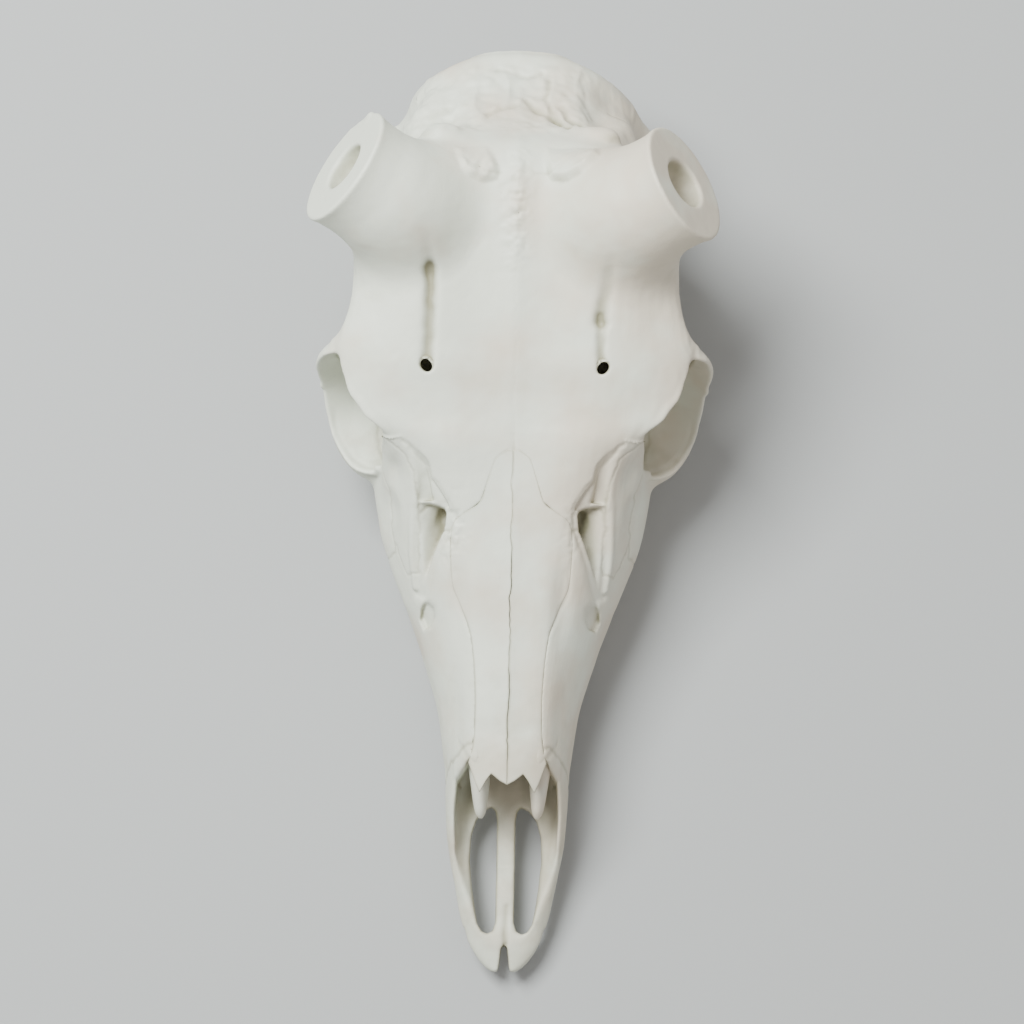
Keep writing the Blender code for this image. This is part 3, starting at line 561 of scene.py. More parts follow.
# Sizes of the bone's patterns: clouds of tint, patches that make the painted hollow shade uneven, grain
# and spacing of the pores.
CLOUD_SIZE = 35.714
SHADE_PATCH_SIZE = 6.25
GRAIN_SIZE = 1.1111
PORE_SPACING = 0.7692
# Bands up the crowns of the teeth, and the heights at which dentine ends and enamel begins.
BAND_SIZE = 2.0
DENTINE_TOP = 0.5
ENAMEL_START = 3.0

# Stage: half the floor's side, what the lights face, and what the camera looks at.
FLOOR_HALF = 4000.0
LIGHT_TARGET = (0, 0, 60)
CAMERA_TARGET = (0.0, 0.0, 62.0)
SENSOR_WIDTH = 36.0
AMBIENT_COLOUR = (1.0, 0.98, 0.955, 1)
# Name, place, power in watts, width in millimetres and colour of the light.
SOFTBOXES = (
    ("key softbox", (-580, 430, 1500), 58, 750, (0.97, 1.0, 0.97)),
    ("fill softbox", (1100, -400, 1100), 2, 1200, (1.0, 0.93, 0.87)),
)


def sculpt_spline(rows, steps, closed=False):
    """Catmull-Rom line through rows of numbers: for each stretch, the usual four-point cubic."""
    rows = np.asarray(rows, float)
    count = len(rows)
    index = np.arange(count if closed else count - 1)
    at = np.linspace(0, 1, steps, endpoint=False)
    if closed:
        p = [rows[(index + k) % count] for k in (-1, 0, 1, 2)]
    else:
        p = [rows[np.clip(index + k, 0, count - 1)] for k in (-1, 0, 1, 2)]
    t = at[None, :, None]
    a, b, c, d = (q[:, None, :] for q in p)
    curve = 2 * b + (c - a) * t + (2 * a - 5 * b + 4 * c - d) * t**2 + (3 * b - a - 3 * c + d) * t**3
    line = (0.5 * curve).reshape(-1, rows.shape[1])
    last = line[:1] if closed else rows[-1:]
    return np.concatenate([line, last])


def at_knots(knots, values, where):
    """Smooth values between knots: a cubic with the slopes of the neighbouring knots."""
    knots, values = np.asarray(knots, float), np.asarray(values, float)
    slopes = np.gradient(values, knots, axis=0)
    where = np.clip(where, knots[0], knots[-1])
    i = np.clip(np.searchsorted(knots, where, side="right") - 1, 0, len(knots) - 2)
    span = knots[i + 1] - knots[i]
    t = (where - knots[i]) / span
    shape = (-1,) + (1,) * (values.ndim - 1)
    t, span = t.reshape(shape), span.reshape(shape)
    return (
        values[i] * (2 * t**3 - 3 * t**2 + 1)
        + values[i + 1] * (3 * t**2 - 2 * t**3)
        + span * slopes[i] * (t**3 - 2 * t**2 + t)
        + span * slopes[i + 1] * (t**3 - t**2)
    )


def smooth_union(a, b, blend):
    """The smaller of two fields, rounded where they differ by less than the blend."""
    if blend <= 0:
        return np.minimum(a, b)
    mix = np.clip(0.5 + 0.5 * (b - a) / blend, 0, 1)
    return b + (a - b) * mix - blend * mix * (1 - mix)


def outline_distance(u, v, outline):
    """Distance from a closed outline in a plane, negative inside: the nearest of its edges, with the
    sign from how often a ray crosses it."""
    outline = np.asarray(outline, np.float32)
    nearest = None
    inside = None
    for (ax, ay), (bx, by) in zip(outline, np.roll(outline, -1, axis=0)):
        ex, ey = bx - ax, by - ay
        along = np.clip(((u - ax) * ex + (v - ay) * ey) / (ex * ex + ey * ey), 0, 1)
        square = (u - ax - along * ex) ** 2 + (v - ay - along * ey) ** 2
        nearest = square if nearest is None else np.minimum(nearest, square)
        if ay != by:
            crosses = ((ay > v) != (by > v)) & (u < ax + ex * (v - ay) / ey)
            inside = crosses if inside is None else inside ^ crosses
    return np.where(inside, -1, 1) * np.sqrt(nearest)


def inside_outline(u, v, outline):
    """Whether points lie in an outline."""
    return outline_distance(u.astype(np.float32), v.astype(np.float32), outline) < 0


def line_distance(points, line):
    """How far points in a plane are from a line of points, and how far along it the nearest is, as a
    share of its length."""
    line = np.asarray(line, float)
    pieces = np.linalg.norm(np.diff(line, axis=0), axis=1)
    before = np.concatenate([[0], np.cumsum(pieces)])
    nearest = np.full(len(points), np.inf)
    share = np.zeros(len(points))
    for a, b, start, length in zip(line[:-1], line[1:], before, pieces):
        t = np.clip((points - a) @ (b - a) / length**2, 0, 1)
        gap = np.linalg.norm(points - a - t[:, None] * (b - a), axis=1)
        closer = gap < nearest
        nearest[closer] = gap[closer]
        share[closer] = (start + t[closer] * length) / before[-1]
    return nearest, share


def smooth_step(value, low, high):
    """0 below low, 1 above high, and the smooth cubic in between."""
    t = np.clip((value - low) / (high - low), 0, 1)
    return t * t * (3 - 2 * t)


def lattice_noise(points, size, seed):
    """Smooth noise from -1 to 1: random values on a lattice of that size, blended by the smooth
    step of where a point lies in its cell. The lattice repeats every 64 cells."""
    values = np.random.default_rng(seed).uniform(-1, 1, (64, 64, 64)).astype(np.float32)
    place = np.asarray(points, float) / size
    base = np.floor(place).astype(int)
    t = place - base
    t = t * t * (3 - 2 * t)
    total = np.zeros(len(place))
    for corner in np.ndindex(2, 2, 2):
        weight = np.prod(np.where(corner, t, 1 - t), axis=1)
        total += weight * values[tuple(((base + corner) % 64).T)]
    return total


class Shape:
    """A body to add or cut: the box it lies in and its distance from each point."""

    def __init__(self, low, high, distance):
        self.low = np.asarray(low, float)
        self.high = np.asarray(high, float)
        self.distance = distance


def facing(normal):
    """Axes of a body: along the upper edge, up across the normal, and the normal, as rows."""
    third = np.asarray(normal, float) / np.linalg.norm(normal)
    second = np.array([0, 0, 1.0]) - third * third[2]
    second /= np.linalg.norm(second)
    return np.array([np.cross(second, third), second, third])


def egg(centre, radii, normal=None):
    """Ellipsoid: |q| (|q| - 1) / |q / r|, where q is the offset in its own axes over the radii r."""
    centre, radii = np.asarray(centre, float), np.asarray(radii, float)
    axes = np.eye(3) if normal is None else facing(normal)
    reach = np.sqrt(((axes * radii[:, None]) ** 2).sum(axis=0))

    def distance(x, y, z):
        offset = (x - centre[0], y - centre[1], z - centre[2])
        own = [sum(axis[k] * offset[k] for k in range(3)) for axis in axes.astype(np.float32)]
        size = np.sqrt(sum((q / r) ** 2 for q, r in zip(own, radii)))
        slope = np.sqrt(sum((q / r**2) ** 2 for q, r in zip(own, radii)))
        return size * (size - 1) / np.maximum(slope, 1e-5)

    return Shape(centre - reach, centre + reach, distance)


def line_frame(line):
    """Directions at a line's points: ahead, up across it, and to the side."""
    ahead = np.gradient(line[:, :3], axis=0)
    ahead /= np.linalg.norm(ahead, axis=1, keepdims=True)
    upright = np.where(np.abs(ahead[:, 2:3]) < 0.8, [[0, 0, 1.0]], [[1.0, 0, 0]])
    tall = upright - ahead * (upright * ahead).sum(axis=1, keepdims=True)
    tall /= np.linalg.norm(tall, axis=1, keepdims=True)
    return ahead, tall, np.cross(ahead, tall)


def bar(rows, steps=4, closed=False):
    """Bar along a smooth line: (|q| - 1) times its smaller half size, where q is the offset from the
    nearest point of the line over the half height and half width there."""
    line = sculpt_spline(rows, steps, closed).astype(np.float32)
    ahead, tall, wide = line_frame(line)
    reach = line[:, 3:].max(axis=1, keepdims=True)
    low, high = (line[:, :3] - reach).min(axis=0), (line[:, :3] + reach).max(axis=0)

    def distance(x, y, z):
        nearest = np.full(np.broadcast(x, y, z).shape, BAR_FAR, np.float32)
        for n in range(len(line) - 1):
            a, b = line[n], line[n + 1]
            pad = max(a[3:].max(), b[3:].max()) + BAR_MARGIN
            window = []
            for k, values in enumerate((x, y, z)):
                ends = (min(a[k], b[k]) - pad, max(a[k], b[k]) + pad)
                window.append(slice(*np.searchsorted(values.ravel(), ends)))
            window = tuple(window)
            p = (x[window[0]] - a[0], y[:, window[1]] - a[1], z[:, :, window[2]] - a[2])
            edge = b[:3] - a[:3]
            t = np.clip(sum(q * e for q, e in zip(p, edge)) / (edge @ edge), 0, 1)
            q = [p[k] - t * edge[k] for k in range(3)]
            height, width = a[3] + t * (b[3] - a[3]), a[4] + t * (b[4] - a[4])
            up = sum(q[k] * (tall[n][k] + t * (tall[n + 1][k] - tall[n][k])) for k in range(3))
            side = sum(q[k] * (wide[n][k] + t * (wide[n + 1][k] - wide[n][k])) for k in range(3))
            end = sum(q[k] * ahead[n][k] for k in range(3))
            least = np.minimum(height, width)
            size = np.sqrt((up / height) ** 2 + (side / width) ** 2 + (end / least) ** 2)
            nearest[window] = np.minimum(nearest[window], (size - 1) * least)
        return nearest

    return Shape(low, high, distance)


def bowl(centre, normal, rim, depth, steep=2.0):
    """Hollow behind a rim: (size - 1) times the rim's mean radius. The size is the root of the sum
    of two powers: how far out a point lies, over the rim's radius in that direction, and how far in
    it lies, over the depth. Outside the rim it closes in with a third of the depth."""
    centre, axes = np.asarray(centre, float), facing(normal)
    loop = (sculpt_spline(np.asarray(rim, float)[:, :3], 8, True)[:-1] - centre) @ axes.T
    angle, radius = np.arctan2(loop[:, 1], loop[:, 0]), np.hypot(loop[:, 0], loop[:, 1])
    reach = max(radius.max(), depth) + 2

    def distance(x, y, z):
        offset = (x - centre[0], y - centre[1], z - centre[2])
        a, b, c = (sum(axis[k] * offset[k] for k in range(3)) for axis in axes.astype(np.float32))
        turn = np.arctan2(b, a)
        out = np.hypot(a, b) / np.interp(turn, angle, radius, period=2 * np.pi)
        lift = np.interp(turn, angle, loop[:, 2], period=2 * np.pi) * np.minimum(out, 1.2) ** 2
        deep = lift - c
        deep = np.where(deep > 0, deep / depth, -3 * deep / depth)
        size = (out**steep + deep**steep) ** (1 / steep)
        return ((size - 1) * radius.mean()).astype(np.float32)

    return Shape(centre - reach, centre + reach, distance)


def slab(outline, low, high, edge=0.0):
    """Outline seen from above, carried from low to high: the larger of the plane distance and the end
    distances, rounded by the edge."""
    outline = np.asarray(outline, float)

    def distance(x, y, z):
        plan = outline_distance(x, y, outline)
        ends = np.maximum(low - z, z - high)
        return -smooth_union(-plan, -ends, edge)

    return Shape((*outline.min(axis=0), low), (*outline.max(axis=0), high), distance)


def turned(profile, start, axis, stretch=1.0):
    """Body turned on an axis: the distance from the axis less the profile's radius there. The
    profile holds (distance along the axis, radius). A stretch over 1 makes the section an ellipse
    that is longer by that much in its level direction."""
    start = np.asarray(start, float)
    level, _, axis = facing(axis)
    along_knots, radii = np.array(profile, float).T
    ends = start + axis * along_knots[[0, -1]][:, None]
    reach = radii.max() * stretch

    def distance(x, y, z):
        offset = (x - start[0], y - start[1], z - start[2])
        along, across = (sum(o * float(a) for o, a in zip(offset, way)) for way in (axis, level))
        square = sum(o * o for o in offset) - along * along - across * across * (1 - stretch**-2)
        side = np.sqrt(np.maximum(square, 0)) - np.interp(along, along_knots, radii).astype(np.float32)
        return np.maximum(side, np.maximum(along_knots[0] - along, along - along_knots[-1]))

    return Shape(ends.min(axis=0) - reach, ends.max(axis=0) + reach, distance)


class Clay:
    """A field of distances from the skull's surface on a regular grid, negative inside, and the
    field of the bare core, which says how deep a point lies."""

    def __init__(self, axes, field, core=None):
        self.axes = axes
        self.field = field
        self.core = core
        self.roof_map = None

    def window(self, low, high):
        """The part of the grid between two corners: its slices and its coordinates."""
        cuts = tuple(slice(*np.searchsorted(a, (l, h))) for a, l, h in zip(self.axes, low, high))
        x, y, z = (a[c] for a, c in zip(self.axes, cuts))
        return cuts, (x[:, None, None], y[None, :, None], z[None, None, :])

    def add(self, shape, blend=3.0):
        """Blends a body on."""
        cuts, places = self.window(shape.low - blend - 1, shape.high + blend + 1)
        if self.field[cuts].size:
            self.field[cuts] = smooth_union(self.field[cuts], shape.distance(*places), blend)

    def cut(self, shape, blend=1.5):
        """Blends a body out."""
        cuts, places = self.window(shape.low - blend - 1, shape.high + blend + 1)
        if self.field[cuts].size:
            self.field[cuts] = -smooth_union(-self.field[cuts], shape.distance(*places), blend)

    def swell(self, centre, spread, amount):
        """Raises the surface by the amount times a bell curve round the centre."""
        centre, spread = np.asarray(centre, float), np.asarray(spread, float)
        cuts, places = self.window(centre - 3 * spread, centre + 3 * spread)
        q = sum(((p - c) / s) ** 2 for p, c, s in zip(places, centre.astype(np.float32), spread))
        self.field[cuts] -= amount * np.exp(-q)

    def sink(self, outline, floor, blend):
        """Sinks the outline, seen from above, below the core's surface: by a depth, or by a depth at
        a place and what it gains for each millimetre of x and of y from there."""
        outline = np.asarray(outline, float)
        (u0, v0), (u1, v1) = outline.min(axis=0), outline.max(axis=0)
        cuts, (x, y, z) = self.window((u0 - blend, v0 - blend, 50), (u1 + blend, v1 + blend, 200))
        depth, px, py, by_x, by_y = (*floor, 0, 0, 0, 0)[:5]
        depth = np.maximum(depth + by_x * (x - px) + by_y * (y - py), 0)
        gone = -smooth_union(-outline_distance(x, y, outline), self.core[cuts] + depth, 1.0)
        self.field[cuts] = -smooth_union(-self.field[cuts], gone, blend)

    def halves(self):
        """Both halves in one, the second as the mirror image of the first."""
        x = self.axes[0]
        axes = [np.concatenate([-x[:0:-1], x]), self.axes[1], self.axes[2]]
        return Clay(axes, np.concatenate([self.field[:0:-1], self.field]))

    def roof(self):
        """Height of the surface's top in each column of the snout: the grid's places along x and y,
        and the last crossing on the way up."""
        cuts, (x, y, z) = self.window(*ROOF_WINDOW)
        field = self.field[cuts]
        last = field.shape[2] - 2 - np.argmax(field[:, :, -2::-1] < 0, axis=2)
        below, above = (np.take_along_axis(field, (last + k)[:, :, None], 2)[:, :, 0] for k in (0, 1))
        step = self.axes[2][1] - self.axes[2][0]
        return x.ravel(), y.ravel(), z.ravel()[last] + step * below / (below - above)


def core_field(axes):
    """The cranium's core: in each plane across it, the distance from the smooth closed line through
    that section's corners. It is worked out on a grid twice as coarse and then refined."""
    coarse = [np.linspace(a[0], a[-1], len(a) // 2 + 1) for a in axes]
    rows = np.array([[0, r[1], *np.ravel(r[2:7]), 0, r[7]] for r in CORE], float)
    sections = at_knots([r[0] for r in CORE], rows, coarse[1]).reshape(len(coarse[1]), 7, 2)
    u, v = coarse[0][:, None], coarse[2][None, :]
    planes = []
    for section in sections:
        lengths = np.linalg.norm(np.diff(section, axis=0), axis=1)
        knots = np.concatenate([[0], np.cumsum(lengths)])
        half = at_knots(knots, section, np.linspace(0, knots[-1], CORE_RING))
        ring = np.concatenate([half, half[-2:0:-1] * (-1, 1)])
        planes.append(outline_distance(u, v, ring))
    field = np.stack(planes, axis=1).astype(np.float32)
    ends = np.maximum(CORE[0][0] - coarse[1], coarse[1] - CORE[-1][0])[None, :, None]
    field = np.maximum(field, ends.astype(np.float32))
    for axis, (old, new) in enumerate(zip(coarse, axes)):
        field = refined(field, axis, old, new)
    return field


def refined(field, axis, old, new):
    """The field on a finer grid along one axis: Catmull-Rom weights of the four nearest planes."""
    place = (new - old[0]) / (old[1] - old[0])
    i = np.clip(place.astype(int), 0, len(old) - 2)
    t = place - i
    weights = (
        0.5 * (-(t**3) + 2 * t**2 - t),
        0.5 * (3 * t**3 - 5 * t**2 + 2),
        0.5 * (-3 * t**3 + 4 * t**2 + t),
        0.5 * (t**3 - t**2),
    )
    shape = [1, 1, 1]
    shape[axis] = -1
    total = 0
    for k, weight in enumerate(weights):
        planes = np.take(field, np.clip(i + k - 1, 0, len(old) - 1), axis=axis)
        total = total + planes * weight.reshape(shape).astype(np.float32)
    return total


def sculpt_half():
    """The skull's left half, as far as both halves are alike."""
    voxel = VOXEL
    axes = [np.arange(a, b + voxel, voxel, dtype=np.float32) for a, b in zip(GRID_LOW, GRID_HIGH)]
    core = core_field(axes)
    clay = Clay(axes, core.copy(), core)
    for centre, radii in LUMPS:
        clay.add(egg(centre, radii), LUMP_BLEND)
    for rows, blend in BARS:
        clay.add(bar(rows), blend)
    for centre, spread, height in SWELLINGS:
        clay.swell(centre, spread, height)
    rim = np.array(ORBIT_RIM, float)
    outward = rim[:, :3] - ORBIT_CENTRE
    outward /= np.linalg.norm(outward, axis=1, keepdims=True)
    thick = rim[:, 3:]
    bead = rim[:, :3] + outward * thick * ORBIT_BEAD
    clay.add(bar(np.hstack([bead, thick, thick]), 2, True), ORBIT_BEAD_BLEND)
    for centre, radii, normal in PITS:
        clay.cut(egg(centre, radii, normal), PIT_EDGE)
    for outline, depth, blend in SUNK:
        clay.sink(outline, depth, blend)
    for centre, radii in POCKETS:
        clay.cut(egg(centre, radii), POCKET_EDGE)
    clay.add(bar(LACRIMAL_RIDGE), RIDGE_BLEND)
    clay.cut(bowl(ORBIT_CENTRE, ORBIT_NORMAL, ORBIT_RIM, ORBIT_DEPTH, ORBIT_STEEPNESS), ORBIT_EDGE)
    clay.add(bar(LACRIMAL_SPINE), SPINE_BLEND)
    clay.roof_map = clay.roof()
    bed = np.array(NASAL_SIDE + NASAL_FRONT[-2::-1]) - (BED_MARGIN, 0)
    clay.sink(np.concatenate([bed, [(-6, -119), (-6, 20)]]), BED_DEPTH, BED_BLEND)
    clay.cut(cavity(), CAVITY_BLEND)
    opening = list(NOSE_OPENING) + [(-x, y) for x, y in NOSE_OPENING[-2:0:-1]]
    clay.cut(slab(opening, NOSE_FLOOR, NOSE_CEILING, NOSE_EDGE), NOSE_BLEND)
    for outline, low, high, blend in CUTS:
        clay.cut(slab(outline, low, high), blend)
    for centre, radii, blend in MIDLINE_HOLLOWS:
        clay.cut(egg(centre, radii), blend)
    for radius, start, end in HOLES:
        way = np.subtract(end, start)
        clay.cut(turned(((0, radius), (np.linalg.norm(way), radius)), start, way), HOLE_EDGE)
    return clay


def cavity():
    """The nasal cavity: in each plane across it, a box with the half widths of its rows."""
    rows = np.array(NASAL_CAVITY, float)

    def distance(x, y, z):
        values = [np.interp(y.ravel(), rows[:, 0], column).astype(np.float32) for column in rows.T[1:]]
        floor, top, low_half, high_half = (value[None, :, None] for value in values)
        rise = np.clip((z - floor) / (top - floor), 0, 1)
        half = low_half + (high_half - low_half) * rise
        side = np.abs(x) - half
        ends = np.maximum(floor - z, z - top)
        ends = np.maximum(ends, np.maximum(rows[0, 0] - y, y - rows[-1, 0]))
        return -smooth_union(-side, -ends, CAVITY_EDGE)

    return Shape((-22, rows[0, 0], 14), (22, rows[-1, 0], 92), distance)


def pedicle_frame(name):
    """Middle of a pedicle's cut face and the direction out of it."""
    axis = np.array(PEDICLES[name]["axis"], float)
    return np.array(PEDICLES[name]["cut"], float), axis / np.linalg.norm(axis)


def cut_hollow(name):
    """The shallow hollow with steep walls in a pedicle's cut face."""
    cut, axis = pedicle_frame(name)
    along, up, _ = facing(axis)
    turn = np.linspace(0, 2 * np.pi, 16, endpoint=False)[:, None]
    long, wide = PEDICLES[name]["hollow"]
    rim = cut + long * np.cos(turn) * along + wide * np.sin(turn) * up
    return bowl(cut, axis, rim, PEDICLE_HOLLOW_DEPTH, PEDICLE_HOLLOW_STEEPNESS)


@functools.lru_cache(maxsize=1)
def sculpt_skull():
    """The whole skull: both halves, and what differs from side to side."""
    half = sculpt_half()
    clay = half.halves()
    clay.roof_map = half.roof_map
    knots = np.array([(-depth, radius) for depth, radius in PEDICLE_PROFILE], float)
    steps = np.linspace(knots[0, 0], knots[-1, 0], 60)
    profile = np.stack([steps, at_knots(knots[:, 0], knots[:, 1], steps)], axis=1)
    for name in SIDES:
        cut, axis = pedicle_frame(name)
        clay.add(turned(profile, cut, axis, PEDICLES[name]["stretch"]), PEDICLE_BLEND)
        clay.cut(turned(SAWN_OFF, cut, axis), SAWN_EDGE)
        clay.cut(cut_hollow(name), SAWN_EDGE)
    for centre, spread, height in ODD_SWELLINGS:
        clay.swell(centre, spread, height)
    return clay


def surface_net(clay):
    """Mesh of the zero surface: one point in each cell that it crosses, at the mean of the crossings
    of the cell's edges, and one quad round each grid edge that it crosses."""
    field = clay.field
    inside = field < 0
    total = np.zeros([n - 1 for n in field.shape], np.uint8)
    corners = [(i, j, k) for i in (0, 1) for j in (0, 1) for k in (0, 1)]
    for corner in corners:
        total += inside[tuple(slice(c, c - 1 or None) for c in corner)]
    active = (total > 0) & (total < 8)
    cells = np.argwhere(active)
    number = np.full(active.shape, -1, np.int32)
    number[active] = np.arange(len(cells))
    values = [field[tuple((cells + corner).T)] for corner in corners]
    place = np.zeros((len(cells), 3))
    crossings = np.zeros((len(cells), 1))
    for a, first in enumerate(corners):
        for b, second in enumerate(corners):
            step = np.subtract(second, first)
            if a < b and step.sum() == 1 and (step >= 0).all():
                crossed = (values[a] < 0) != (values[b] < 0)
                share = values[a] / np.where(crossed, values[a] - values[b], 1)
                place += np.where(crossed[:, None], first + share[:, None] * step, 0)
                crossings += crossed[:, None]
    steps = [axis[1] - axis[0] for axis in clay.axes]
    vertices = (cells + place / crossings) * steps + [axis[0] for axis in clay.axes]
    quads = []
    for axis in range(3):
        u, v = [k for k in range(3) if k != axis]
        a = [slice(1, -1)] * 3
        b = [slice(1, -1)] * 3
        a[axis], b[axis] = slice(None, -1), slice(1, None)
        crossed = inside[tuple(a)] != inside[tuple(b)]
        spots = np.argwhere(crossed)
        leaves = inside[tuple(a)][crossed]
        spots[:, u] += 1
        spots[:, v] += 1
        ring = []
        for du, dv in ((0, 0), (-1, 0), (-1, -1), (0, -1)):
            cell = spots.copy()
            cell[:, u] += du
            cell[:, v] += dv
            ring.append(number[tuple(cell.T)])
        ring = np.stack(ring, axis=1)
        turn = leaves if axis != 1 else ~leaves
        ring[~turn] = ring[~turn][:, ::-1]
        quads.append(ring)
    return vertices, np.concatenate(quads)


def sampled(clay, points):
    """The field at points, from the eight grid values round each."""
    place = (points - [a[0] for a in clay.axes]) / [a[1] - a[0] for a in clay.axes]
    base = np.clip(place.astype(int), 0, np.array(clay.field.shape) - 2)
    t = place - base
    total = np.zeros(len(points))
    for corner in np.ndindex(2, 2, 2):
        weight = np.prod(np.where(corner, t, 1 - t), axis=1)
        total += weight * clay.field[tuple((base + corner).T)]
    return total


def slopes(clay, points):
    """The field's gradient at points, from values a voxel to either side."""
    step = clay.axes[0][1] - clay.axes[0][0]
    sides = []
    for k in range(3):
        off = np.zeros(3)
        off[k] = step
        sides.append((sampled(clay, points + off) - sampled(clay, points - off)) / (2 * step))
    return np.stack(sides, axis=1)


def neighbours(quads, count):
    """Pairs of points that share an edge, and how many each point has."""
    pairs = np.concatenate([quads[:, [k, (k + 1) % 4]] for k in range(4)])
    return pairs, np.bincount(pairs[:, 0], minlength=count) + np.bincount(pairs[:, 1], minlength=count)


def spread(values, pairs, counts, rounds):
    """Values evened out over the mesh: each becomes the mean of itself and its neighbours' mean."""
    for _ in range(rounds):
        total = np.bincount(pairs[:, 0], values[pairs[:, 1]], len(values))
        total += np.bincount(pairs[:, 1], values[pairs[:, 0]], len(values))
        values = 0.5 * values + 0.5 * total / counts
    return values


def relaxed(clay, vertices, quads, rounds=3):
    """Evens out the mesh: each point goes to the mean of its neighbours and then back to the zero
    surface along the field's slope."""
    pairs, counts = neighbours(quads, len(vertices))
    for _ in range(rounds):
        vertices = np.stack([spread(column, pairs, counts, 1) for column in vertices.T], axis=1)
        slope = slopes(clay, vertices)
        steep = np.maximum((slope**2).sum(axis=1, keepdims=True), 0.2)
        move = sampled(clay, vertices)[:, None] * slope / steep
        vertices = vertices - np.clip(move, -0.6, 0.6) * 0.8
    return vertices


def normals_of(vertices, quads):
    """Normals of the points: the sum of the crossed diagonals of the faces round each."""
    a, b, c, d = (vertices[quads[:, k]] for k in range(4))
    face = np.cross(c - a, d - b)
    total = np.zeros_like(vertices)
    for k in range(3):
        for corner in range(4):
            total[:, k] += np.bincount(quads[:, corner], face[:, k], len(vertices))
    return total / np.maximum(np.linalg.norm(total, axis=1, keepdims=True), 1e-9)


def bone_of_faces(centres):
    """Which bone each face belongs to: the first whose share of space holds its middle. The lines
    between the shares waver, as sutures do."""
    waver = [SUTURE_WAVER * lattice_noise(centres, SUTURE_WAVE, seed) for seed in (11, 12, 13)]
    x, y, z = (centres + np.stack(waver, axis=1)).T
    side = np.where(x > 0, "_left", "_right")
    bone = np.full(len(centres), "", dtype="U24")
    for name in SIDES:
        cut, axis = pedicle_frame(name)
        along = (centres - cut) @ axis
        out = np.linalg.norm(centres - cut - along[:, None] * axis, axis=1)
        bone[(along > -PEDICLE_LENGTH) & (out < PEDICLE_REACH)] = "pedicle_" + name
    for name, view, outline, low, high in BONE_SHARES:
        u, v = (y, z) if view == "side" else (np.abs(x), y)
        own = inside_outline(u, v, outline) & (z > low) & (z < high) & (bone == "")
        bone[own] = name if name in SINGLE_BONES else np.char.add(name, side[own])
    rest = bone == ""
    bone[rest] = np.char.add("maxilla", side[rest])
    return bone


def front_share(y):
    """0 at the eye sockets to 1 at the tip of the snout."""
    return smooth_step(-y, 30, 150)


def relief(vertices, normals):
    """How far each point of the surface is raised, in millimetres: crests, grooves, rugged patches
    and a slight unevenness all over; and how much of that the grooves take away."""
    x, y, z = vertices.T
    wobble = 0.5 * lattice_noise(vertices, WOBBLE_SIZE, seed=3)
    top = smooth_step(normals[:, 2], 0.15, 0.45) * ((z > 55) | (y < -150))
    fine = lattice_noise(vertices, FINE_SIZE, seed=4)
    middle = lattice_noise(vertices, MIDDLE_SIZE, seed=5)
    height = 0.12 * lattice_noise(vertices, BROAD_SIZE, seed=6) + 0.06 * middle

    # Rugged crest along the midline of the forehead, fading to a faint line.
    crest = np.interp(y, *zip(*CREST_HEIGHTS))
    width = np.interp(y, *zip(*CREST_WIDTHS))
    shape = np.exp(-np.abs((x + 0.6 * wobble) / width) ** 1.5)
    rugged = smooth_step(y, 84, 120) * (1 - smooth_step(y, 139, 147))
    height += top * shape * (crest + rugged * (0.7 * fine + 0.7 * middle))

    # Lobes on either side of it, steep at their edge and fading to the back.
    streaks = lattice_noise(vertices @ STREAK_WAYS, STREAK_SIZE, seed=9)
    lobe_height = np.where(x > 0, LEFT_LOBE_HEIGHT, RIGHT_LOBE_HEIGHT) + 0.3 * middle + 0.5 * streaks
    near = np.flatnonzero((np.abs(x) < 45) & (y > 120) & (y < 150) & (top > 0))
    u = (x + 1.6 * wobble)[near].astype(np.float32)
    v = (y + 1.4 * wobble)[near].astype(np.float32)
    for outline in LOBES:
        within = -outline_distance(u, v, outline)
        lobe = smooth_step(within, 0, 3.0) * (1 - smooth_step(y[near], 135, 148))
        height[near] += top[near] * lobe * lobe_height[near]

    # Folds on the slope behind them.
    slope = smooth_step(y, 152, 158) * (1 - smooth_step(y, 188, 196))
    slope = slope * (1 - 0.8 * smooth_step(x, 27, 33)) * (z > 78)
    folds = 1 - 2 * np.abs(lattice_noise(vertices * (1, 0.5, 0.6) + (0, 3, 0), FOLD_SIZE, seed=8))
    height += slope * (0.95 * folds + 0.5 * middle + 0.08 * fine)

    # Rough patch where the nasal, frontal and upper jaw bones meet.
    (px, py), (spread_x, spread_y) = PATCH_PLACE, PATCH_SPREAD
    patch = np.exp(-((((np.abs(x) - px) / spread_x) ** 2) + ((y - py) / spread_y) ** 2))
    depth = np.where(x < 0, RIGHT_PATCH_DEPTH, LEFT_PATCH_DEPTH)
    height += top * patch * depth * np.minimum(fine + middle, 0.2)

    carved = np.zeros(len(vertices))
    for both, table in ((True, GROOVES_BOTH), (False, GROOVES_ONE)):
        for line, half, start, end in table:
            line = np.asarray(line, float)
            low, high = line.min(axis=0) - 3 * half - 1, line.max(axis=0) + 3 * half + 1
            across = (np.abs(x) if both else x) + wobble
            near = (across > low[0]) & (across < high[0]) & (y > low[1]) & (y < high[1]) & (top > 0)
            near = np.flatnonzero(near)
            gap, share = line_distance(np.stack([across[near], y[near] + wobble[near]], axis=1), line)
            carved[near] += top[near] * (start + (end - start) * share) * np.exp(-((gap / half) ** 2.4))
    return height - carved, carved


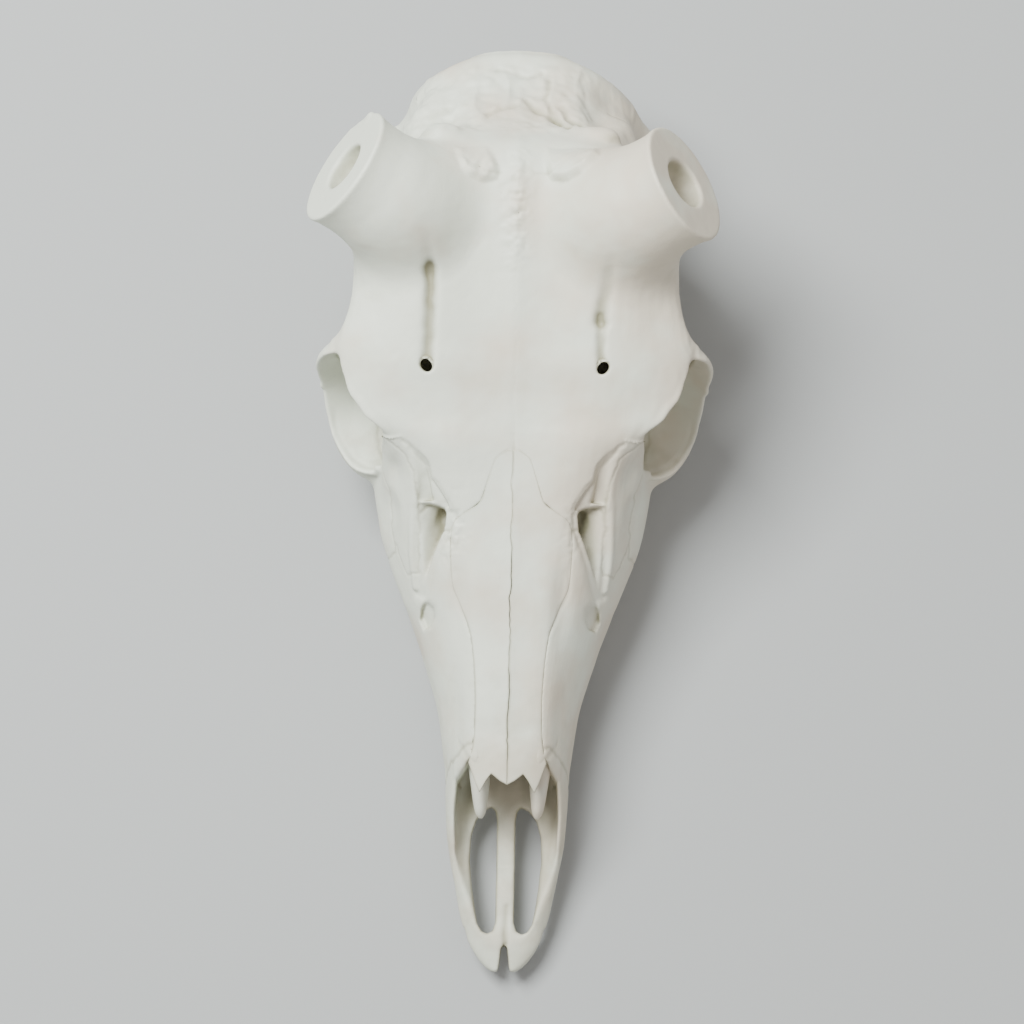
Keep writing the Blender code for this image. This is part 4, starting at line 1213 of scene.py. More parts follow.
def sheltered(clay, vertices, normals):
    """How much bone stands round each point, from 0 in the open to 1: the share of directions,
    weighted by how far they stand off the surface, that meet bone within the farthest reach."""
    origin = np.array([axis[0] for axis in clay.axes])
    step = clay.axes[0][1] - clay.axes[0][0]
    limit = np.array(clay.field.shape) - 1
    turn = np.arange(SHELTER_WAYS) * math.pi * (3 - math.sqrt(5))
    rise = 1 - (2 * np.arange(SHELTER_WAYS) + 1) / SHELTER_WAYS
    flat = np.sqrt(1 - rise**2)
    met, total = np.zeros(len(vertices)), np.full(len(vertices), 1e-6)
    for way in np.stack([flat * np.cos(turn), flat * np.sin(turn), rise], axis=1):
        facing_it = normals @ way
        near = np.flatnonzero(facing_it > 0.15)
        start = (vertices[near] + SHELTER_START * normals[near] - origin) / step
        blocked = np.zeros(len(near), bool)
        for reach in SHELTER_REACHES:
            place = np.clip(np.rint(start + way * reach / step).astype(int), 0, limit)
            blocked |= clay.field[tuple(place.T)] < 0
        met[near] += facing_it[near] * blocked
        total[near] += facing_it[near]
    return met / total


@functools.lru_cache(maxsize=1)
def skull_surface(suture_depth):
    """The sculpted skull's mesh in millimetres: points, faces, normals, how thick the shell may be at
    each point, how dark the painted shade is there, with darker suture lines, and the bone of each face.
    The pedicles grow from the frontal bones, so no suture lies between them."""
    clay = sculpt_skull()
    vertices, quads = surface_net(clay)
    vertices = relaxed(clay, vertices, quads)
    normals = normals_of(vertices, quads)
    bones = bone_of_faces(vertices[quads].mean(axis=1))
    _, codes = np.unique(np.char.replace(bones, "pedicle", "frontal"), return_inverse=True)
    codes = codes.ravel()
    least = np.full(len(vertices), len(codes))
    most = np.full(len(vertices), -1)
    for k in range(4):
        np.minimum.at(least, quads[:, k], codes)
        np.maximum.at(most, quads[:, k], codes)
    pairs, counts = neighbours(quads, len(vertices))
    seam = spread((least != most).astype(float), pairs, counts, 3)

    # Sutures that are grown shut, and so fainter: between the frontal bones, over the back of the
    # crown, far out at the sides and, altogether, on the nose floor.
    x, y, z = vertices.T
    wide = np.abs(x)
    faint = 1 - 0.6 * smooth_step(y, 20, 30) * (wide < 6)
    faint *= 1 - 0.85 * smooth_step(y, 128, 140) * (z > 90)
    faint *= 1 - 0.7 * smooth_step(wide, 58, 62)
    faint *= 1 - (wide < 20) * (y < -95) * (z < 50)

    # How sheltered each point is, which sets the painted shade in the hollows, less so round the
    # pedicles' cut faces.
    hollow = sheltered(clay, vertices, normals)
    for name in SIDES:
        cut, axis = pedicle_frame(name)
        hollow[(vertices - cut) @ axis > -14] *= 0.8
    seam = faint * np.minimum(seam * 2.2, 1) * (1 - smooth_step(hollow, 0.3, 0.6))

    height, carved = relief(vertices, normals)
    vertices = vertices + normals * (height - suture_depth * seam)[:, None]
    normals = normals_of(vertices, quads)
    inner = vertices - SHELL_THICKNESS * normals
    depth = np.clip(-sampled(clay, inner), THINNEST_SHELL, SHELL_THICKNESS)
    dents = np.clip(spread(height, pairs, counts, 12) - height, 0, 0.6)
    # Painted shade also in the grooves and in dents lower than their surroundings; the suture lines are
    # darker too.
    hollow = spread(hollow, pairs, counts, 6) + 0.2 * carved + 0.25 * seam + 0.45 * dents

    # Painted shade grows towards the tip of the snout, where the light falls off, though less on the
    # walls within the nose, which are sheltered already.
    x, y, z = vertices.T
    within = (np.abs(x) < 23) * (z > 21) * (1 - smooth_step(normals[:, 2], 0.3, 0.8))
    hollow += front_share(y) * (0.22 - 0.12 * within)
    return vertices, quads, normals, depth, hollow, bones


def put_mesh(name, vertices, faces, normals=None, hollow=None):
    """An object whose mesh holds points in millimetres, in the place that the solids have. The faces
    come as arrays of rows with as many corners as each has. The hollow value of a point, from 0 on
    open ground to 1 in a deep hollow, is kept for the material's painted shade."""
    mesh = bpy.data.meshes.new(name)
    places = (vertices + (0, CENTRING_Y, 0)) * MM
    mesh.vertices.add(len(places))
    mesh.vertices.foreach_set("co", places.astype(np.float32).ravel())
    corners = np.concatenate([rows.ravel() for rows in faces]).astype(np.int32)
    sizes = np.concatenate([np.full(len(rows), rows.shape[1]) for rows in faces])
    mesh.loops.add(len(corners))
    mesh.loops.foreach_set("vertex_index", corners)
    mesh.polygons.add(len(sizes))
    mesh.polygons.foreach_set("loop_start", (np.cumsum(sizes) - sizes).astype(np.int32))
    mesh.polygons.foreach_set("use_smooth", np.ones(len(sizes), bool))
    mesh.update(calc_edges=True)
    if normals is not None:
        mesh.normals_split_custom_set_from_vertices(normals.astype(np.float32))
    values = np.zeros(len(places)) if hollow is None else hollow
    mesh.attributes.new("hollow", "FLOAT", "POINT").data.foreach_set("value", values.astype(np.float32))
    made = bpy.data.objects.new(name, mesh)
    bpy.context.scene.collection.objects.link(made)
    return made


def triangles_of(quads):
    """Both halves of each quad."""
    return np.concatenate([quads[:, [0, 1, 2]], quads[:, [0, 2, 3]]])


def thinned(faces):
    """Triangles with three different corners, less the pairs that lie back to back."""
    a, b, c = faces.T
    faces = faces[(a != b) & (b != c) & (a != c)]
    a, b, c = faces.T
    turn = np.where((a < b) ^ (b < c) ^ (a < c), 1, -1)
    _, index = np.unique(np.sort(faces, axis=1), axis=0, return_inverse=True)
    index = index.ravel()
    total = np.bincount(index, turn)
    first = np.full(len(total), -1)
    wanted = np.flatnonzero(turn == np.sign(total[index]))
    first[index[wanted]] = wanted
    return faces[first[first >= 0]]


def bone_shell(name, suture_depth):
    """A bone as a closed shell: its share of the skull's surface, a coarser copy of it moved inwards,
    whose points are the means of blocks of points, and a strip along the edge that joins the two."""
    vertices, quads, normals, depth, hollow, bones = skull_surface(suture_depth)
    own = quads[bones == name]
    used, index = np.unique(own, return_inverse=True)
    faces = index.reshape(-1, 4)
    count = len(used)
    outer = vertices[used]
    inner = outer - normals[used] * depth[used, None]
    block = LINING_BLOCK * VOXEL
    _, cluster = np.unique(np.floor(inner / block).astype(int), axis=0, return_inverse=True)
    cluster = cluster.ravel()
    total = np.bincount(cluster)
    merged = np.stack([np.bincount(cluster, inner[:, k]) / total for k in range(3)], axis=1)
    starts = faces.ravel().astype(np.int64)
    ends = np.roll(faces, -1, axis=1).ravel().astype(np.int64)
    edge = ~np.isin(starts * count + ends, ends * count + starts)
    a, b = starts[edge], ends[edge]
    below = cluster + count
    rim = np.concatenate([np.stack([b, a, below[a]], axis=1), np.stack([b, below[a], below[b]], axis=1)])
    lining = triangles_of(below[faces[:, ::-1]])
    points = np.concatenate([outer, merged])
    shading = np.concatenate([normals[used], np.zeros((len(merged), 3))])
    # Painted shade at the surface's points, and full painted shade on the hidden lining.
    stain_and_shade = np.concatenate([hollow[used], np.ones(len(merged))])
    inside = thinned(np.concatenate([lining, rim]))
    return put_mesh(name + "_bone", points, [faces, inside], shading, stain_and_shade)


def nasal_top(x, y):
    """Height of the nasal bones: that of the roof under them, and past its front end, over the nose
    opening, from the ridge down to the edge with a power of x."""
    y_knots, ridge, edge, half = (np.array(column, float) for column in zip(*NASALS))
    ridge, edge, half = (at_knots(y_knots, values, y) for values in (ridge, edge, half))
    free = ridge - (ridge - edge) * (np.abs(x) / half) ** NASAL_ROUNDNESS
    across, along, roof = sculpt_skull().roof_map
    step = across[1] - across[0]
    place = [np.clip((x - across[0]) / step, 0, len(across) - 1.01)]
    place.append(np.clip((y - along[0]) / step, 0, len(along) - 1.01))
    base = [values.astype(int) for values in place]
    share = [values - whole for values, whole in zip(place, base)]
    under = np.zeros(len(x))
    for i, j in np.ndindex(2, 2):
        weight = (share[0] if i else 1 - share[0]) * (share[1] if j else 1 - share[1])
        under += weight * roof[base[0] + i, base[1] + j]
    held = smooth_step(y, -107, -96)
    return free + (under - free) * held


def even_points(line, shares):
    """Points at shares of the length of a smooth line."""
    line = sculpt_spline(line, 24)
    length = np.concatenate([[0], np.cumsum(np.linalg.norm(np.diff(line, axis=0), axis=1))])
    return np.stack([np.interp(shares * length[-1], length, line[:, k]) for k in (0, 1)], axis=1)


def nasal_plate(name, side, across=56, along=300):
    """A nasal bone: a patch between four edge lines (the two pairs blended linearly, less the corners
    blended both ways), lifted to the height of the nasal roof, rounded along its edge by a quarter
    circle, and closed by the same patch below it."""
    u = 0.5 - 0.5 * np.cos(np.pi * np.linspace(0, 1, across))
    v = 0.5 - 0.5 * np.cos(np.pi * np.linspace(0, 1, along))
    v = 0.35 * v + 0.65 * np.linspace(0, 1, along)
    knots = np.array(NASAL_FRONT)
    knots[0, 0] = 0
    front = np.stack([np.interp(u * knots[-1, 0], knots[:, 0], column) for column in knots.T], axis=1)
    side_line = even_points(NASAL_SIDE, v)
    mid_y = NASAL_FRONT[0][1] + v * (NASAL_SIDE[-1][1] - NASAL_FRONT[0][1])
    places = np.stack([mid_y * 0, mid_y, mid_y * 0], axis=1)
    waver = 0.45 * lattice_noise(places, 7.0, 21) + 0.2 * lattice_noise(places, 2.3, 22)
    waver *= smooth_step(mid_y, -118, -100) * SIDES[side]
    mid = np.stack([0.5 * np.interp(mid_y, *np.array(NASAL_GAP).T) + waver, mid_y], axis=1)
    back = mid[-1] + u[:, None] * (np.array(NASAL_SIDE[-1]) - mid[-1])
    front[0] = mid[0]
    front[-1] = side_line[0]
    back[-1] = side_line[-1]
    uu, vv = u[:, None, None], v[None, :, None]
    plan = (1 - vv) * front[:, None] + vv * back[:, None] + (1 - uu) * mid[None] + uu * side_line[None]
    front_corners = (1 - uu) * (1 - vv) * front[0] + uu * (1 - vv) * front[-1]
    plan -= front_corners + (1 - uu) * vv * back[0] + uu * vv * back[-1]
    x, y = plan[..., 0].ravel(), plan[..., 1].ravel()
    outline = np.concatenate([front, side_line[1:], back[::-1][1:], mid[::-1][1:-1]])
    gap = np.clip(-outline_distance(x, y, outline), 0, None)
    sunk = np.clip(1 - gap / NASAL_EDGE, 0, 1)
    top = nasal_top(x, y)
    points = np.stack([SIDES[side] * x, y, top], axis=1)
    uneven = relief(points, np.full(points.shape, (0, 0, 1.0)))[0]
    thick = NASAL_TIP_THICKNESS + (NASAL_THICKNESS - NASAL_TIP_THICKNESS) * smooth_step(y, -122, -100)
    round_off = 1 - np.sqrt(1 - sunk**2)
    upper = top + uneven - NASAL_EDGE * round_off
    lower = top - thick + 0.5 * NASAL_EDGE * round_off
    points = np.concatenate([np.stack([x, y, upper], axis=1), np.stack([x, y, lower], axis=1)])
    grid = np.arange(across * along).reshape(across, along)
    corners = (grid[:-1, :-1], grid[1:, :-1], grid[1:, 1:], grid[:-1, 1:])
    faces = np.stack(corners, axis=-1).reshape(-1, 4)
    edge = np.concatenate([grid[:, 0], grid[-1, 1:], grid[-2::-1, -1], grid[0, -2:0:-1]])
    after = np.roll(edge, -1)
    rim = np.stack([edge, edge + grid.size, after + grid.size, after], axis=1)
    faces = np.concatenate([faces, faces[:, ::-1] + grid.size, rim])
    points[:, 0] *= SIDES[side]
    if SIDES[side] < 0:
        faces = faces[:, ::-1]
    # Darker along the plates' edges, and painted shade growing towards the snout's tip, as on the skull.
    stain_and_shade = np.exp(-((gap / 0.6) ** 2)) * (0.2 + 0.15 * smooth_step(y, -112, -104))
    stain_and_shade = stain_and_shade + 0.24 * front_share(y)
    return put_mesh(name, points, [faces], hollow=np.concatenate([stain_and_shade, np.ones(len(stain_and_shade))]))


def tube_faces(count, around):
    """Faces of a tube of rings: quads between the rings, and triangles round the two points that come
    after them, one for each end."""
    grid = np.arange(count * around).reshape(count, around)
    beside = np.roll(grid, -1, axis=1)
    quads = np.stack([grid[:-1], beside[:-1], beside[1:], grid[1:]], axis=-1).reshape(-1, 4)
    first = np.stack([beside[0], grid[0], np.full(around, grid.size)], axis=1)
    last = np.stack([grid[-1], beside[-1], np.full(around, grid.size + 1)], axis=1)
    return quads, np.concatenate([first, last])


def swept(name, rows, around=28, steps=10, flip=False):
    """A closed body along a smooth line: in the plane across it, an ellipse with the rows' half
    height and half width; the ends close in on their middle."""
    line = sculpt_spline(rows, steps)
    _, tall, wide = line_frame(line)
    turn = np.linspace(0, 2 * np.pi, around, endpoint=False)
    rings = (
        line[:, None, :3]
        + tall[:, None] * line[:, None, 3:4] * np.sin(turn)[None, :, None]
        + wide[:, None] * line[:, None, 4:5] * np.cos(turn)[None, :, None]
    )
    points = np.concatenate([rings.reshape(-1, 3), line[[0, -1], :3]])
    quads, caps = tube_faces(len(line), around)
    if flip:
        points[:, 0] *= -1
        quads, caps = quads[:, ::-1], caps[:, ::-1]
    return put_mesh(name, points, [quads, caps])


def cheek_tooth(middle, length, width, lobes, turn, number):
    """Points and faces of a crown: rings whose outline is a rounded box, waisted between two lobes,
    wider where it leaves the gum, and a chewing face with a pair of crescent ridges to each lobe."""
    angle = np.linspace(0, 2 * np.pi, CROWN_POINTS, endpoint=False)
    along, across = np.cos(angle), np.sin(angle)
    square = (np.abs(along) ** 4 + np.abs(across) ** 4) ** -0.25
    along, across = along * square, across * square
    pinch = 1 - 0.16 * (lobes > 1) * np.exp(-((along / 0.22) ** 2))
    ribs = 1 + 0.035 * np.cos(2 * lobes * np.pi * along) * (np.abs(across) > 0.5)
    cos, sin = np.cos(turn), np.sin(turn)
    rings = []
    for z, girth in CROWN_LEVELS + tuple((0, share) for share in CHEWING_RINGS):
        u, v = along * girth, across * girth * pinch * ribs
        height = np.full(CROWN_POINTS, float(z))
        if z == 0:
            cell = u * lobes
            cell = (cell + 1) % 2 - 1 if lobes > 1 else cell
            ring = np.hypot(cell * 0.95, v * 1.05)
            crescent = np.exp(-(((ring - 0.62) / 0.13) ** 2)) * (v < 0.9)
            fossa = np.exp(-((ring / 0.42) ** 2)) * np.exp(-((v / 0.5) ** 2))
            height = 1.5 - 1.3 * crescent + 1.6 * fossa - 0.9 * smooth_step(girth, 0.75, 0.9)
            height += 0.15 * np.sin(9 * u + number) * np.cos(7 * v)
            height = np.maximum(height, 0.05)
        x, y = v * width / 2, u * (length / 2 - CROWN_GAP / 2)
        rings.append(np.stack([x * cos + y * sin, y * cos - x * sin, height], axis=1))
    rings = np.array(rings) + (*middle, 0)
    points = np.concatenate([rings.reshape(-1, 3), rings[[0, -1]].mean(axis=1)])
    return points, *tube_faces(len(rings), CROWN_POINTS)


def tooth_row(name, side):
    """The cheek teeth of one side as one piece, from the first premolar to the last molar."""
    start, end = np.array(TOOTH_ROW_START), np.array(TOOTH_ROW_END)
    row = sum(length for length, _, _ in TEETH)
    turn = math.atan2(*(end - start))
    points, quads, triangles = [], [], []
    done = count = 0
    for number, (length, width, lobes) in enumerate(TEETH):
        share = (done + length / 2) / row
        middle = start + (end - start) * share + (TOOTH_ROW_BOW * math.sin(math.pi * share), 0)
        part, faces, caps = cheek_tooth(middle, length, width, lobes, turn, number)
        points.append(part)
        quads.append(faces + count)
        triangles.append(caps + count)
        count += len(part)
        done += length
    points, quads, triangles = (np.concatenate(parts) for parts in (points, quads, triangles))
    points[:, 0] *= SIDES[side]
    if SIDES[side] > 0:
        quads, triangles = quads[:, ::-1], triangles[:, ::-1]
    return put_mesh(name, points, [quads, triangles])


def linear(hex_colour):
    """A colour from its sRGB hex value, in linear light, with alpha."""
    channels = [int(hex_colour[k : k + 2], 16) / 255 for k in (1, 3, 5)]
    return [c / 12.92 if c <= 0.04045 else ((c + 0.055) / 1.055) ** 2.4 for c in channels] + [1.0]


def add_node(tree, kind, inputs=None, **settings):
    """A node with its settings and its inputs, which are values or the sockets linked to them."""
    made = tree.nodes.new(kind)
    for name, value in settings.items():
        setattr(made, name, value)
    for name, value in (inputs or {}).items():
        if isinstance(value, bpy.types.NodeSocket):
            tree.links.new(value, made.inputs[name])
        else:
            made.inputs[name].default_value = value
    return made


def new_material(name):
    """A material, its node tree, its shader, and the socket with the object's own coordinates."""
    material = bpy.data.materials.new(name)
    material.use_nodes = True
    tree = material.node_tree
    places = add_node(tree, "ShaderNodeTexCoord").outputs["Object"]
    return material, tree, tree.nodes["Principled BSDF"], places


def per_metre(size):
    """A texture's scale for a pattern of a size in millimetres."""
    return 1 / (size * MM)


@functools.lru_cache(maxsize=None)
def bleached_bone():
    """Degreased, peroxide-bleached bone: chalky, hardly shiny, cooler and warmer by turns over a few
    centimetres, with painted shade that makes the left side warmer and darker, finely grained and
    pored, and with painted olive shade in the hollows."""
    finish = bpy.context.scene.deer_skull_bone
    material, tree, shader, places = new_material("bleached bone")

    # Clouds 20 to 50 mm wide between the two tints, and painted shade that makes the left side of the
    # skull, away from the key light, warmer and darker.
    size = per_metre(CLOUD_SIZE)
    cloud = add_node(tree, "ShaderNodeTexNoise", {"Vector": places, "Scale": size, "Detail": 3.0})
    side = add_node(tree, "ShaderNodeSeparateXYZ", {"Vector": places}).outputs["X"]
    sum_of = {0: side, 1: 2.2, 2: cloud.outputs["Fac"]}
    cloud_and_side_shade = add_node(tree, "ShaderNodeMath", sum_of, operation="MULTIPLY_ADD").outputs[0]
    share = add_node(tree, "ShaderNodeMapRange", {"Value": cloud_and_side_shade, "From Min": 0.4, "From Max": 0.66})
    tints = {
        "Factor": share.outputs["Result"],
        FIRST_COLOUR: (*finish.cool_tint, 1),
        SECOND_COLOUR: (*finish.warm_tint, 1),
    }
    tint = add_node(tree, "ShaderNodeMix", tints, data_type="RGBA").outputs[MIXED_COLOUR]

    # Painted shade in the hollows, grooves and dents and towards the snout's tip, with darker suture
    # lines, made uneven over 6 mm.
    size = per_metre(SHADE_PATCH_SIZE)
    patch = add_node(tree, "ShaderNodeTexNoise", {"Vector": places, "Scale": size, "Detail": 3.0})
    hollow = add_node(tree, "ShaderNodeAttribute", attribute_name="hollow").outputs["Fac"]
    rough = add_node(tree, "ShaderNodeMath", {0: patch.outputs["Fac"], 1: 0.25}, operation="MULTIPLY")
    depth = add_node(tree, "ShaderNodeMath", {0: hollow, 1: rough.outputs[0]}, operation="ADD").outputs[0]
    stain_and_shade = add_node(tree, "ShaderNodeMapRange", {"Value": depth, "From Min": 0.2, "From Max": 0.8})
    tints = {
        "Factor": stain_and_shade.outputs["Result"],
        FIRST_COLOUR: tint,
        SECOND_COLOUR: (*finish.hollow_shade_tint, 1),
    }
    colour = add_node(tree, "ShaderNodeMix", tints, data_type="RGBA")
    tree.links.new(colour.outputs[MIXED_COLOUR], shader.inputs["Base Color"])

    # Grain about 1 mm wide, drawn out along the skull, and pores of 0.3 mm.
    along = add_node(tree, "ShaderNodeMapping", {"Vector": places, "Scale": (1.0, 0.45, 1.0)}).outputs[0]
    size = per_metre(GRAIN_SIZE)
    grain = add_node(tree, "ShaderNodeTexNoise", {"Vector": along, "Scale": size, "Detail": 5.0})
    pores = add_node(tree, "ShaderNodeTexVoronoi", {"Vector": places, "Scale": per_metre(PORE_SPACING)})
    pitted = add_node(tree, "ShaderNodeMapRange", {"Value": pores.outputs["Distance"], "From Max": 0.22})
    both = {0: pitted.outputs["Result"], 1: grain.outputs["Fac"]}
    surface = add_node(tree, "ShaderNodeMath", both, operation="ADD").outputs[0]
    bump = add_node(tree, "ShaderNodeBump", {"Height": surface, "Strength": 0.2, "Distance": 0.3 * MM})
    tree.links.new(bump.outputs["Normal"], shader.inputs["Normal"])
    limits = {"Value": cloud.outputs["Fac"], "To Min": 0.48, "To Max": 0.62}
    gloss = add_node(tree, "ShaderNodeMapRange", limits)
    tree.links.new(gloss.outputs["Result"], shader.inputs["Roughness"])
    shader.inputs["IOR"].default_value = 1.5
    return material


@functools.lru_cache(maxsize=None)
def tooth_enamel():
    """Enamel worn through to dentine on the chewing face: glossier and yellower than bone."""
    finish = bpy.context.scene.deer_skull_teeth
    material, tree, shader, places = new_material("tooth enamel")
    height = add_node(tree, "ShaderNodeSeparateXYZ", {"Vector": places}).outputs["Z"]

    # Dentine near the chewing face, enamel further up, and fine bands up the crown.
    limits = {"Value": height, "From Min": DENTINE_TOP * MM, "From Max": ENAMEL_START * MM}
    share = add_node(tree, "ShaderNodeMapRange", limits)
    tints = {
        "Factor": share.outputs["Result"],
        FIRST_COLOUR: (*finish.dentine, 1),
        SECOND_COLOUR: (*finish.enamel, 1),
    }
    worn = add_node(tree, "ShaderNodeMix", tints, data_type="RGBA").outputs[MIXED_COLOUR]
    long = add_node(tree, "ShaderNodeMapping", {"Vector": places, "Scale": (1.0, 1.0, 0.12)}).outputs[0]
    bands = add_node(
        tree, "ShaderNodeTexNoise", {"Vector": long, "Scale": per_metre(BAND_SIZE), "Detail": 4.0}
    ).outputs["Fac"]
    dark = add_node(tree, "ShaderNodeMapRange", {"Value": bands, "From Min": 0.55, "From Max": 0.8})
    tints = {"Factor": dark.outputs["Result"], FIRST_COLOUR: worn, SECOND_COLOUR: (*finish.stain_and_shade, 1)}
    colour = add_node(tree, "ShaderNodeMix", tints, data_type="RGBA")
    tree.links.new(colour.outputs[MIXED_COLOUR], shader.inputs["Base Color"])
    bump = add_node(tree, "ShaderNodeBump", {"Height": bands, "Strength": 0.3, "Distance": 0.3 * MM})
    tree.links.new(bump.outputs["Normal"], shader.inputs["Normal"])
    shader.inputs["Roughness"].default_value = 0.32
    shader.inputs["IOR"].default_value = 1.62
    return material


def dress(piece, material, slot, *nodes):
    """Gives a piece its material and its place in the frame."""
    piece.data.materials.append(material)
    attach(piece, "root")
    if nodes:
        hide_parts(*nodes)
    return piece


class SKULL_PG_bone(bpy.types.PropertyGroup):
    """Bone: its sutures and its colours"""

    suture_depth: FloatProperty(
        name="Suture depth",
        description="How deep the lines between the bones lie",
        default=0.28 * MM,
        min=0.0,
        unit="LENGTH",
    )
    cool_tint: FloatVectorProperty(
        name="Cool tint",
        description="The bleached bone where it is coolest",
        default=linear("#DFE3D5")[:3],
        subtype="COLOR",
    )
    # Also the colour of the painted shade on the left side, away from the key light.
    warm_tint: FloatVectorProperty(
        name="Warm tint",
        description="The bleached bone where it is warmest",
        default=linear("#D7CEBC")[:3],
        subtype="COLOR",
    )
    # Colour of the painted olive shade in the hollows.
    hollow_shade_tint: FloatVectorProperty(
        name="Hollow tint",
        description="The stain that is left in the hollows",
        default=linear("#96937B")[:3],
        subtype="COLOR",
    )


class SKULL_PG_teeth(bpy.types.PropertyGroup):
    """Cheek teeth: their colours"""

    enamel: FloatVectorProperty(
        name="Enamel", description="Sides of the crowns", default=linear("#DDD8C8")[:3], subtype="COLOR"
    )
    dentine: FloatVectorProperty(
        name="Dentine", description="Worn chewing faces", default=linear("#B9A684")[:3], subtype="COLOR"
    )
    stain_and_shade: FloatVectorProperty(
        name="Stain",
        description="Dark streaks up the crowns",
        default=linear("#8E7A5A")[:3],
        subtype="COLOR",
    )


class SKULL_PG_stage(bpy.types.PropertyGroup):
    """Stage: floor, light and camera"""

    floor_colour: FloatVectorProperty(
        name="Floor",
        description="Colour of the backdrop paper",
        default=linear("#ABADAE")[:3],
        subtype="COLOR",
    )
    surroundings: FloatProperty(
        name="Surroundings", description="Strength of the light from all round", default=0.54, min=0.0
    )
    elevation: FloatProperty(
        name="Elevation",
        description="How far above the floor the camera looks from",
        default=math.radians(79.0),
        subtype="ANGLE",
        unit="ROTATION",
    )
    roll: FloatProperty(
        name="Roll",
        description="How far the camera leans to the side",
        default=math.radians(1.05),
        subtype="ANGLE",
        unit="ROTATION",
    )
    distance: FloatProperty(
        name="Distance", description="From the camera to the skull", default=1600 * MM, unit="LENGTH"
    )
    lens: FloatProperty(
        name="Lens", description="Focal length of the camera", default=129.0, min=1.0, unit="CAMERA"
    )


GROUPS = {
    "deer_skull_bone": SKULL_PG_bone,
    "deer_skull_teeth": SKULL_PG_teeth,
    "deer_skull_stage": SKULL_PG_stage,
}
BONES = (
    "premaxilla_left premaxilla_right maxilla_left maxilla_right "
    "lacrimal_left lacrimal_right zygomatic_left zygomatic_right "
    "frontal_left frontal_right pedicle_left pedicle_right parietal temporal_left temporal_right "
    "sphenoid occipital"
).split()
SLOTS = {node["node"]: node["material_slot"] for node in frame["record"]["subparts"]}


class SKULL_OT_bones(bpy.types.Operator):
    """Sculpt the skull and part it into its bones"""

    bl_idname = "deer_skull.bones"
    bl_label = "Bones"

    def execute(self, context):
        depth = context.scene.deer_skull_bone.suture_depth / MM
        for name in BONES:
            dress(bone_shell(name, depth), bleached_bone(), SLOTS[name], name)
        return {"FINISHED"}


class SKULL_OT_nasals(bpy.types.Operator):
    """Lay the two nasal bones on the snout"""

    bl_idname = "deer_skull.nasals"
    bl_label = "Nasal bones"

    def execute(self, context):
        for side in SIDES:
            name = "nasal_" + side
            dress(nasal_plate(name + "_bone", side), bleached_bone(), SLOTS[name], name)
        return {"FINISHED"}


class SKULL_OT_scrolls(bpy.types.Operator):
    """Hang the scroll bones in the nose opening"""

    bl_idname = "deer_skull.scrolls"
    bl_label = "Scroll bones"

    def execute(self, context):
        for side, sign in SIDES.items():
            name = "turbinate_" + side
            rows = [(x + TURBINATE_SHIFT[side], *rest) for x, *rest in TURBINATE]
            piece = swept(name + "_bone", rows, flip=sign < 0)
            dress(piece, bleached_bone(), SLOTS[name], name)
        return {"FINISHED"}


class SKULL_OT_teeth(bpy.types.Operator):
    """Set the cheek teeth in the upper jaw"""

    bl_idname = "deer_skull.teeth"
    bl_label = "Cheek teeth"

    def execute(self, context):
        for side in SIDES:
            name = "maxilla_" + side
            dress(tooth_row("cheek_teeth_" + side, side), tooth_enamel(), SLOTS[name], name)
        return {"FINISHED"}


def aimed(name, data, place, target):
    """A light or camera at a place, looking at a target, both in millimetres."""
    made = bpy.data.objects.new(name, data)
    bpy.context.scene.collection.objects.link(made)
    place, target = Vector(place) * MM, Vector(target) * MM
    made.location = place
    made.rotation_euler = (place - target).to_track_quat("Z", "Y").to_euler()
    return made


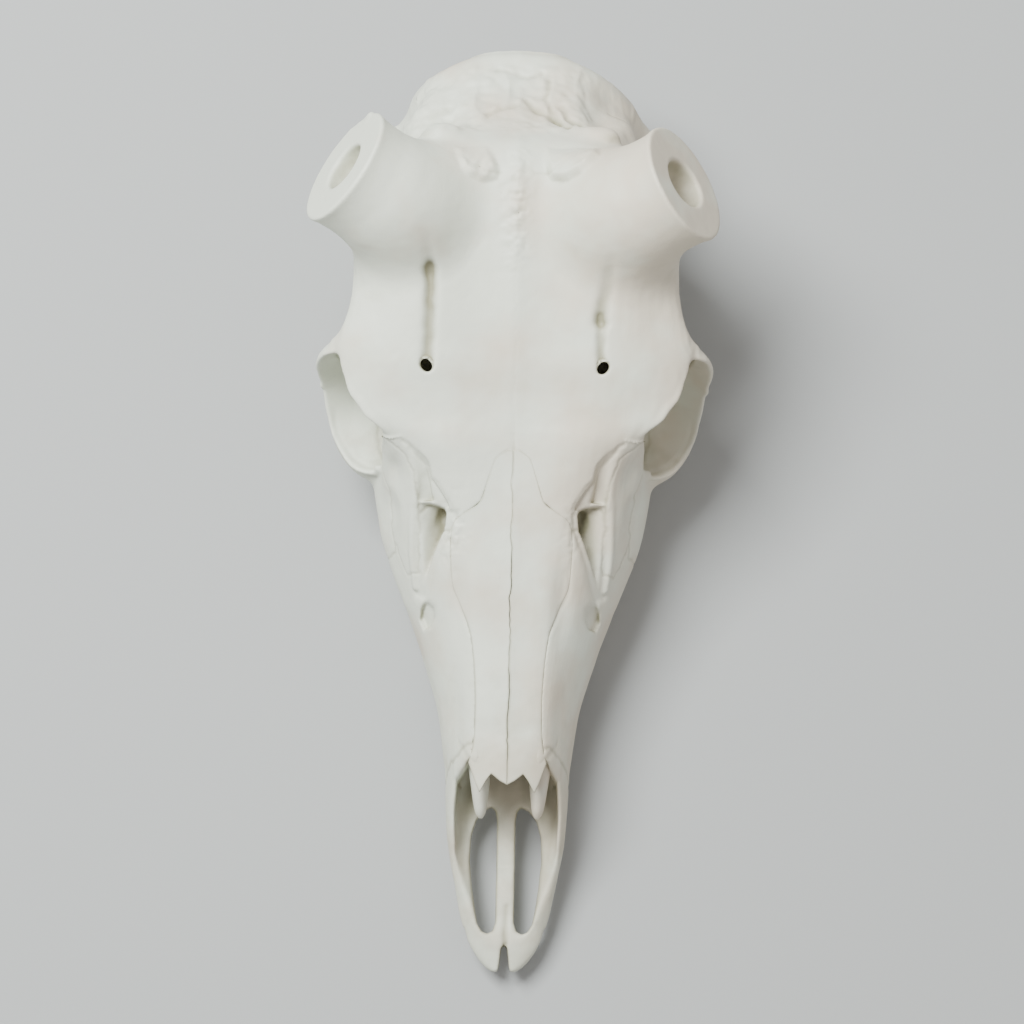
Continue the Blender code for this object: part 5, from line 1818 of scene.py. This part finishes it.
class SKULL_OT_stage(bpy.types.Operator):
    """Lay the pale floor and set up the soft light and the camera"""

    bl_idname = "deer_skull.stage"
    bl_label = "Stage"

    def execute(self, context):
        scene = context.scene
        wish = scene.deer_skull_stage
        half = FLOOR_HALF * MM
        mesh = bpy.data.meshes.new("floor")
        corners = [(-half, -half, 0), (half, -half, 0), (half, half, 0), (-half, half, 0)]
        mesh.from_pydata(corners, [], [(0, 1, 2, 3)])
        floor = bpy.data.objects.new("floor", mesh)
        scene.collection.objects.link(floor)
        paper = bpy.data.materials.new("matt backdrop paper")
        paper.use_nodes = True
        shader = paper.node_tree.nodes["Principled BSDF"]
        shader.inputs["Base Color"].default_value = (*wish.floor_colour, 1)
        shader.inputs["Roughness"].default_value = 0.9
        mesh.materials.append(paper)
        world = bpy.data.worlds.new("studio")
        world.use_nodes = True
        background = world.node_tree.nodes["Background"]
        background.inputs["Color"].default_value = AMBIENT_COLOUR
        background.inputs["Strength"].default_value = wish.surroundings
        scene.world = world
        for name, place, power, wide, colour in SOFTBOXES:
            light = bpy.data.lights.new(name, "AREA")
            light.energy = power
            light.size = wide * MM
            light.color = colour
            aimed(name, light, place, LIGHT_TARGET)
        lens = bpy.data.cameras.new("camera")
        lens.lens = wish.lens
        lens.sensor_width = SENSOR_WIDTH
        target = Vector(CAMERA_TARGET) + Vector((0, CENTRING_Y, 0))
        away = Vector((0, -math.cos(wish.elevation), math.sin(wish.elevation)))
        camera = aimed("camera", lens, target + away * wish.distance / MM, target)
        roll = Matrix.Rotation(wish.roll, 3, "Z")
        camera.rotation_euler = (camera.rotation_euler.to_matrix() @ roll).to_euler()
        scene.camera = camera
        return {"FINISHED"}


class SKULL_PT_panel(bpy.types.Panel):
    """The skull's settings and the steps that build it"""

    bl_label = "Deer skull"
    bl_idname = "SKULL_PT_panel"
    bl_space_type = "VIEW_3D"
    bl_region_type = "UI"
    bl_category = "Deer skull"

    def draw(self, context):
        for name, group in GROUPS.items():
            for setting in group.__annotations__:
                self.layout.prop(getattr(context.scene, name), setting)
        for operator in OPERATORS:
            self.layout.operator(operator.bl_idname)


OPERATORS = (SKULL_OT_stage, SKULL_OT_bones, SKULL_OT_nasals, SKULL_OT_scrolls, SKULL_OT_teeth)
CLASSES = tuple(GROUPS.values()) + OPERATORS + (SKULL_PT_panel,)


def register():
    for cls in CLASSES:
        bpy.utils.register_class(cls)
    for name, group in GROUPS.items():
        setattr(bpy.types.Scene, name, PointerProperty(type=group))


def unregister():
    for name in GROUPS:
        delattr(bpy.types.Scene, name)
    for cls in reversed(CLASSES):
        bpy.utils.unregister_class(cls)


def main():
    register()
    bpy.ops.deer_skull.stage()
    bpy.ops.deer_skull.bones()
    bpy.ops.deer_skull.nasals()
    bpy.ops.deer_skull.scrolls()
    bpy.ops.deer_skull.teeth()


if __name__ == "__main__":
    main()
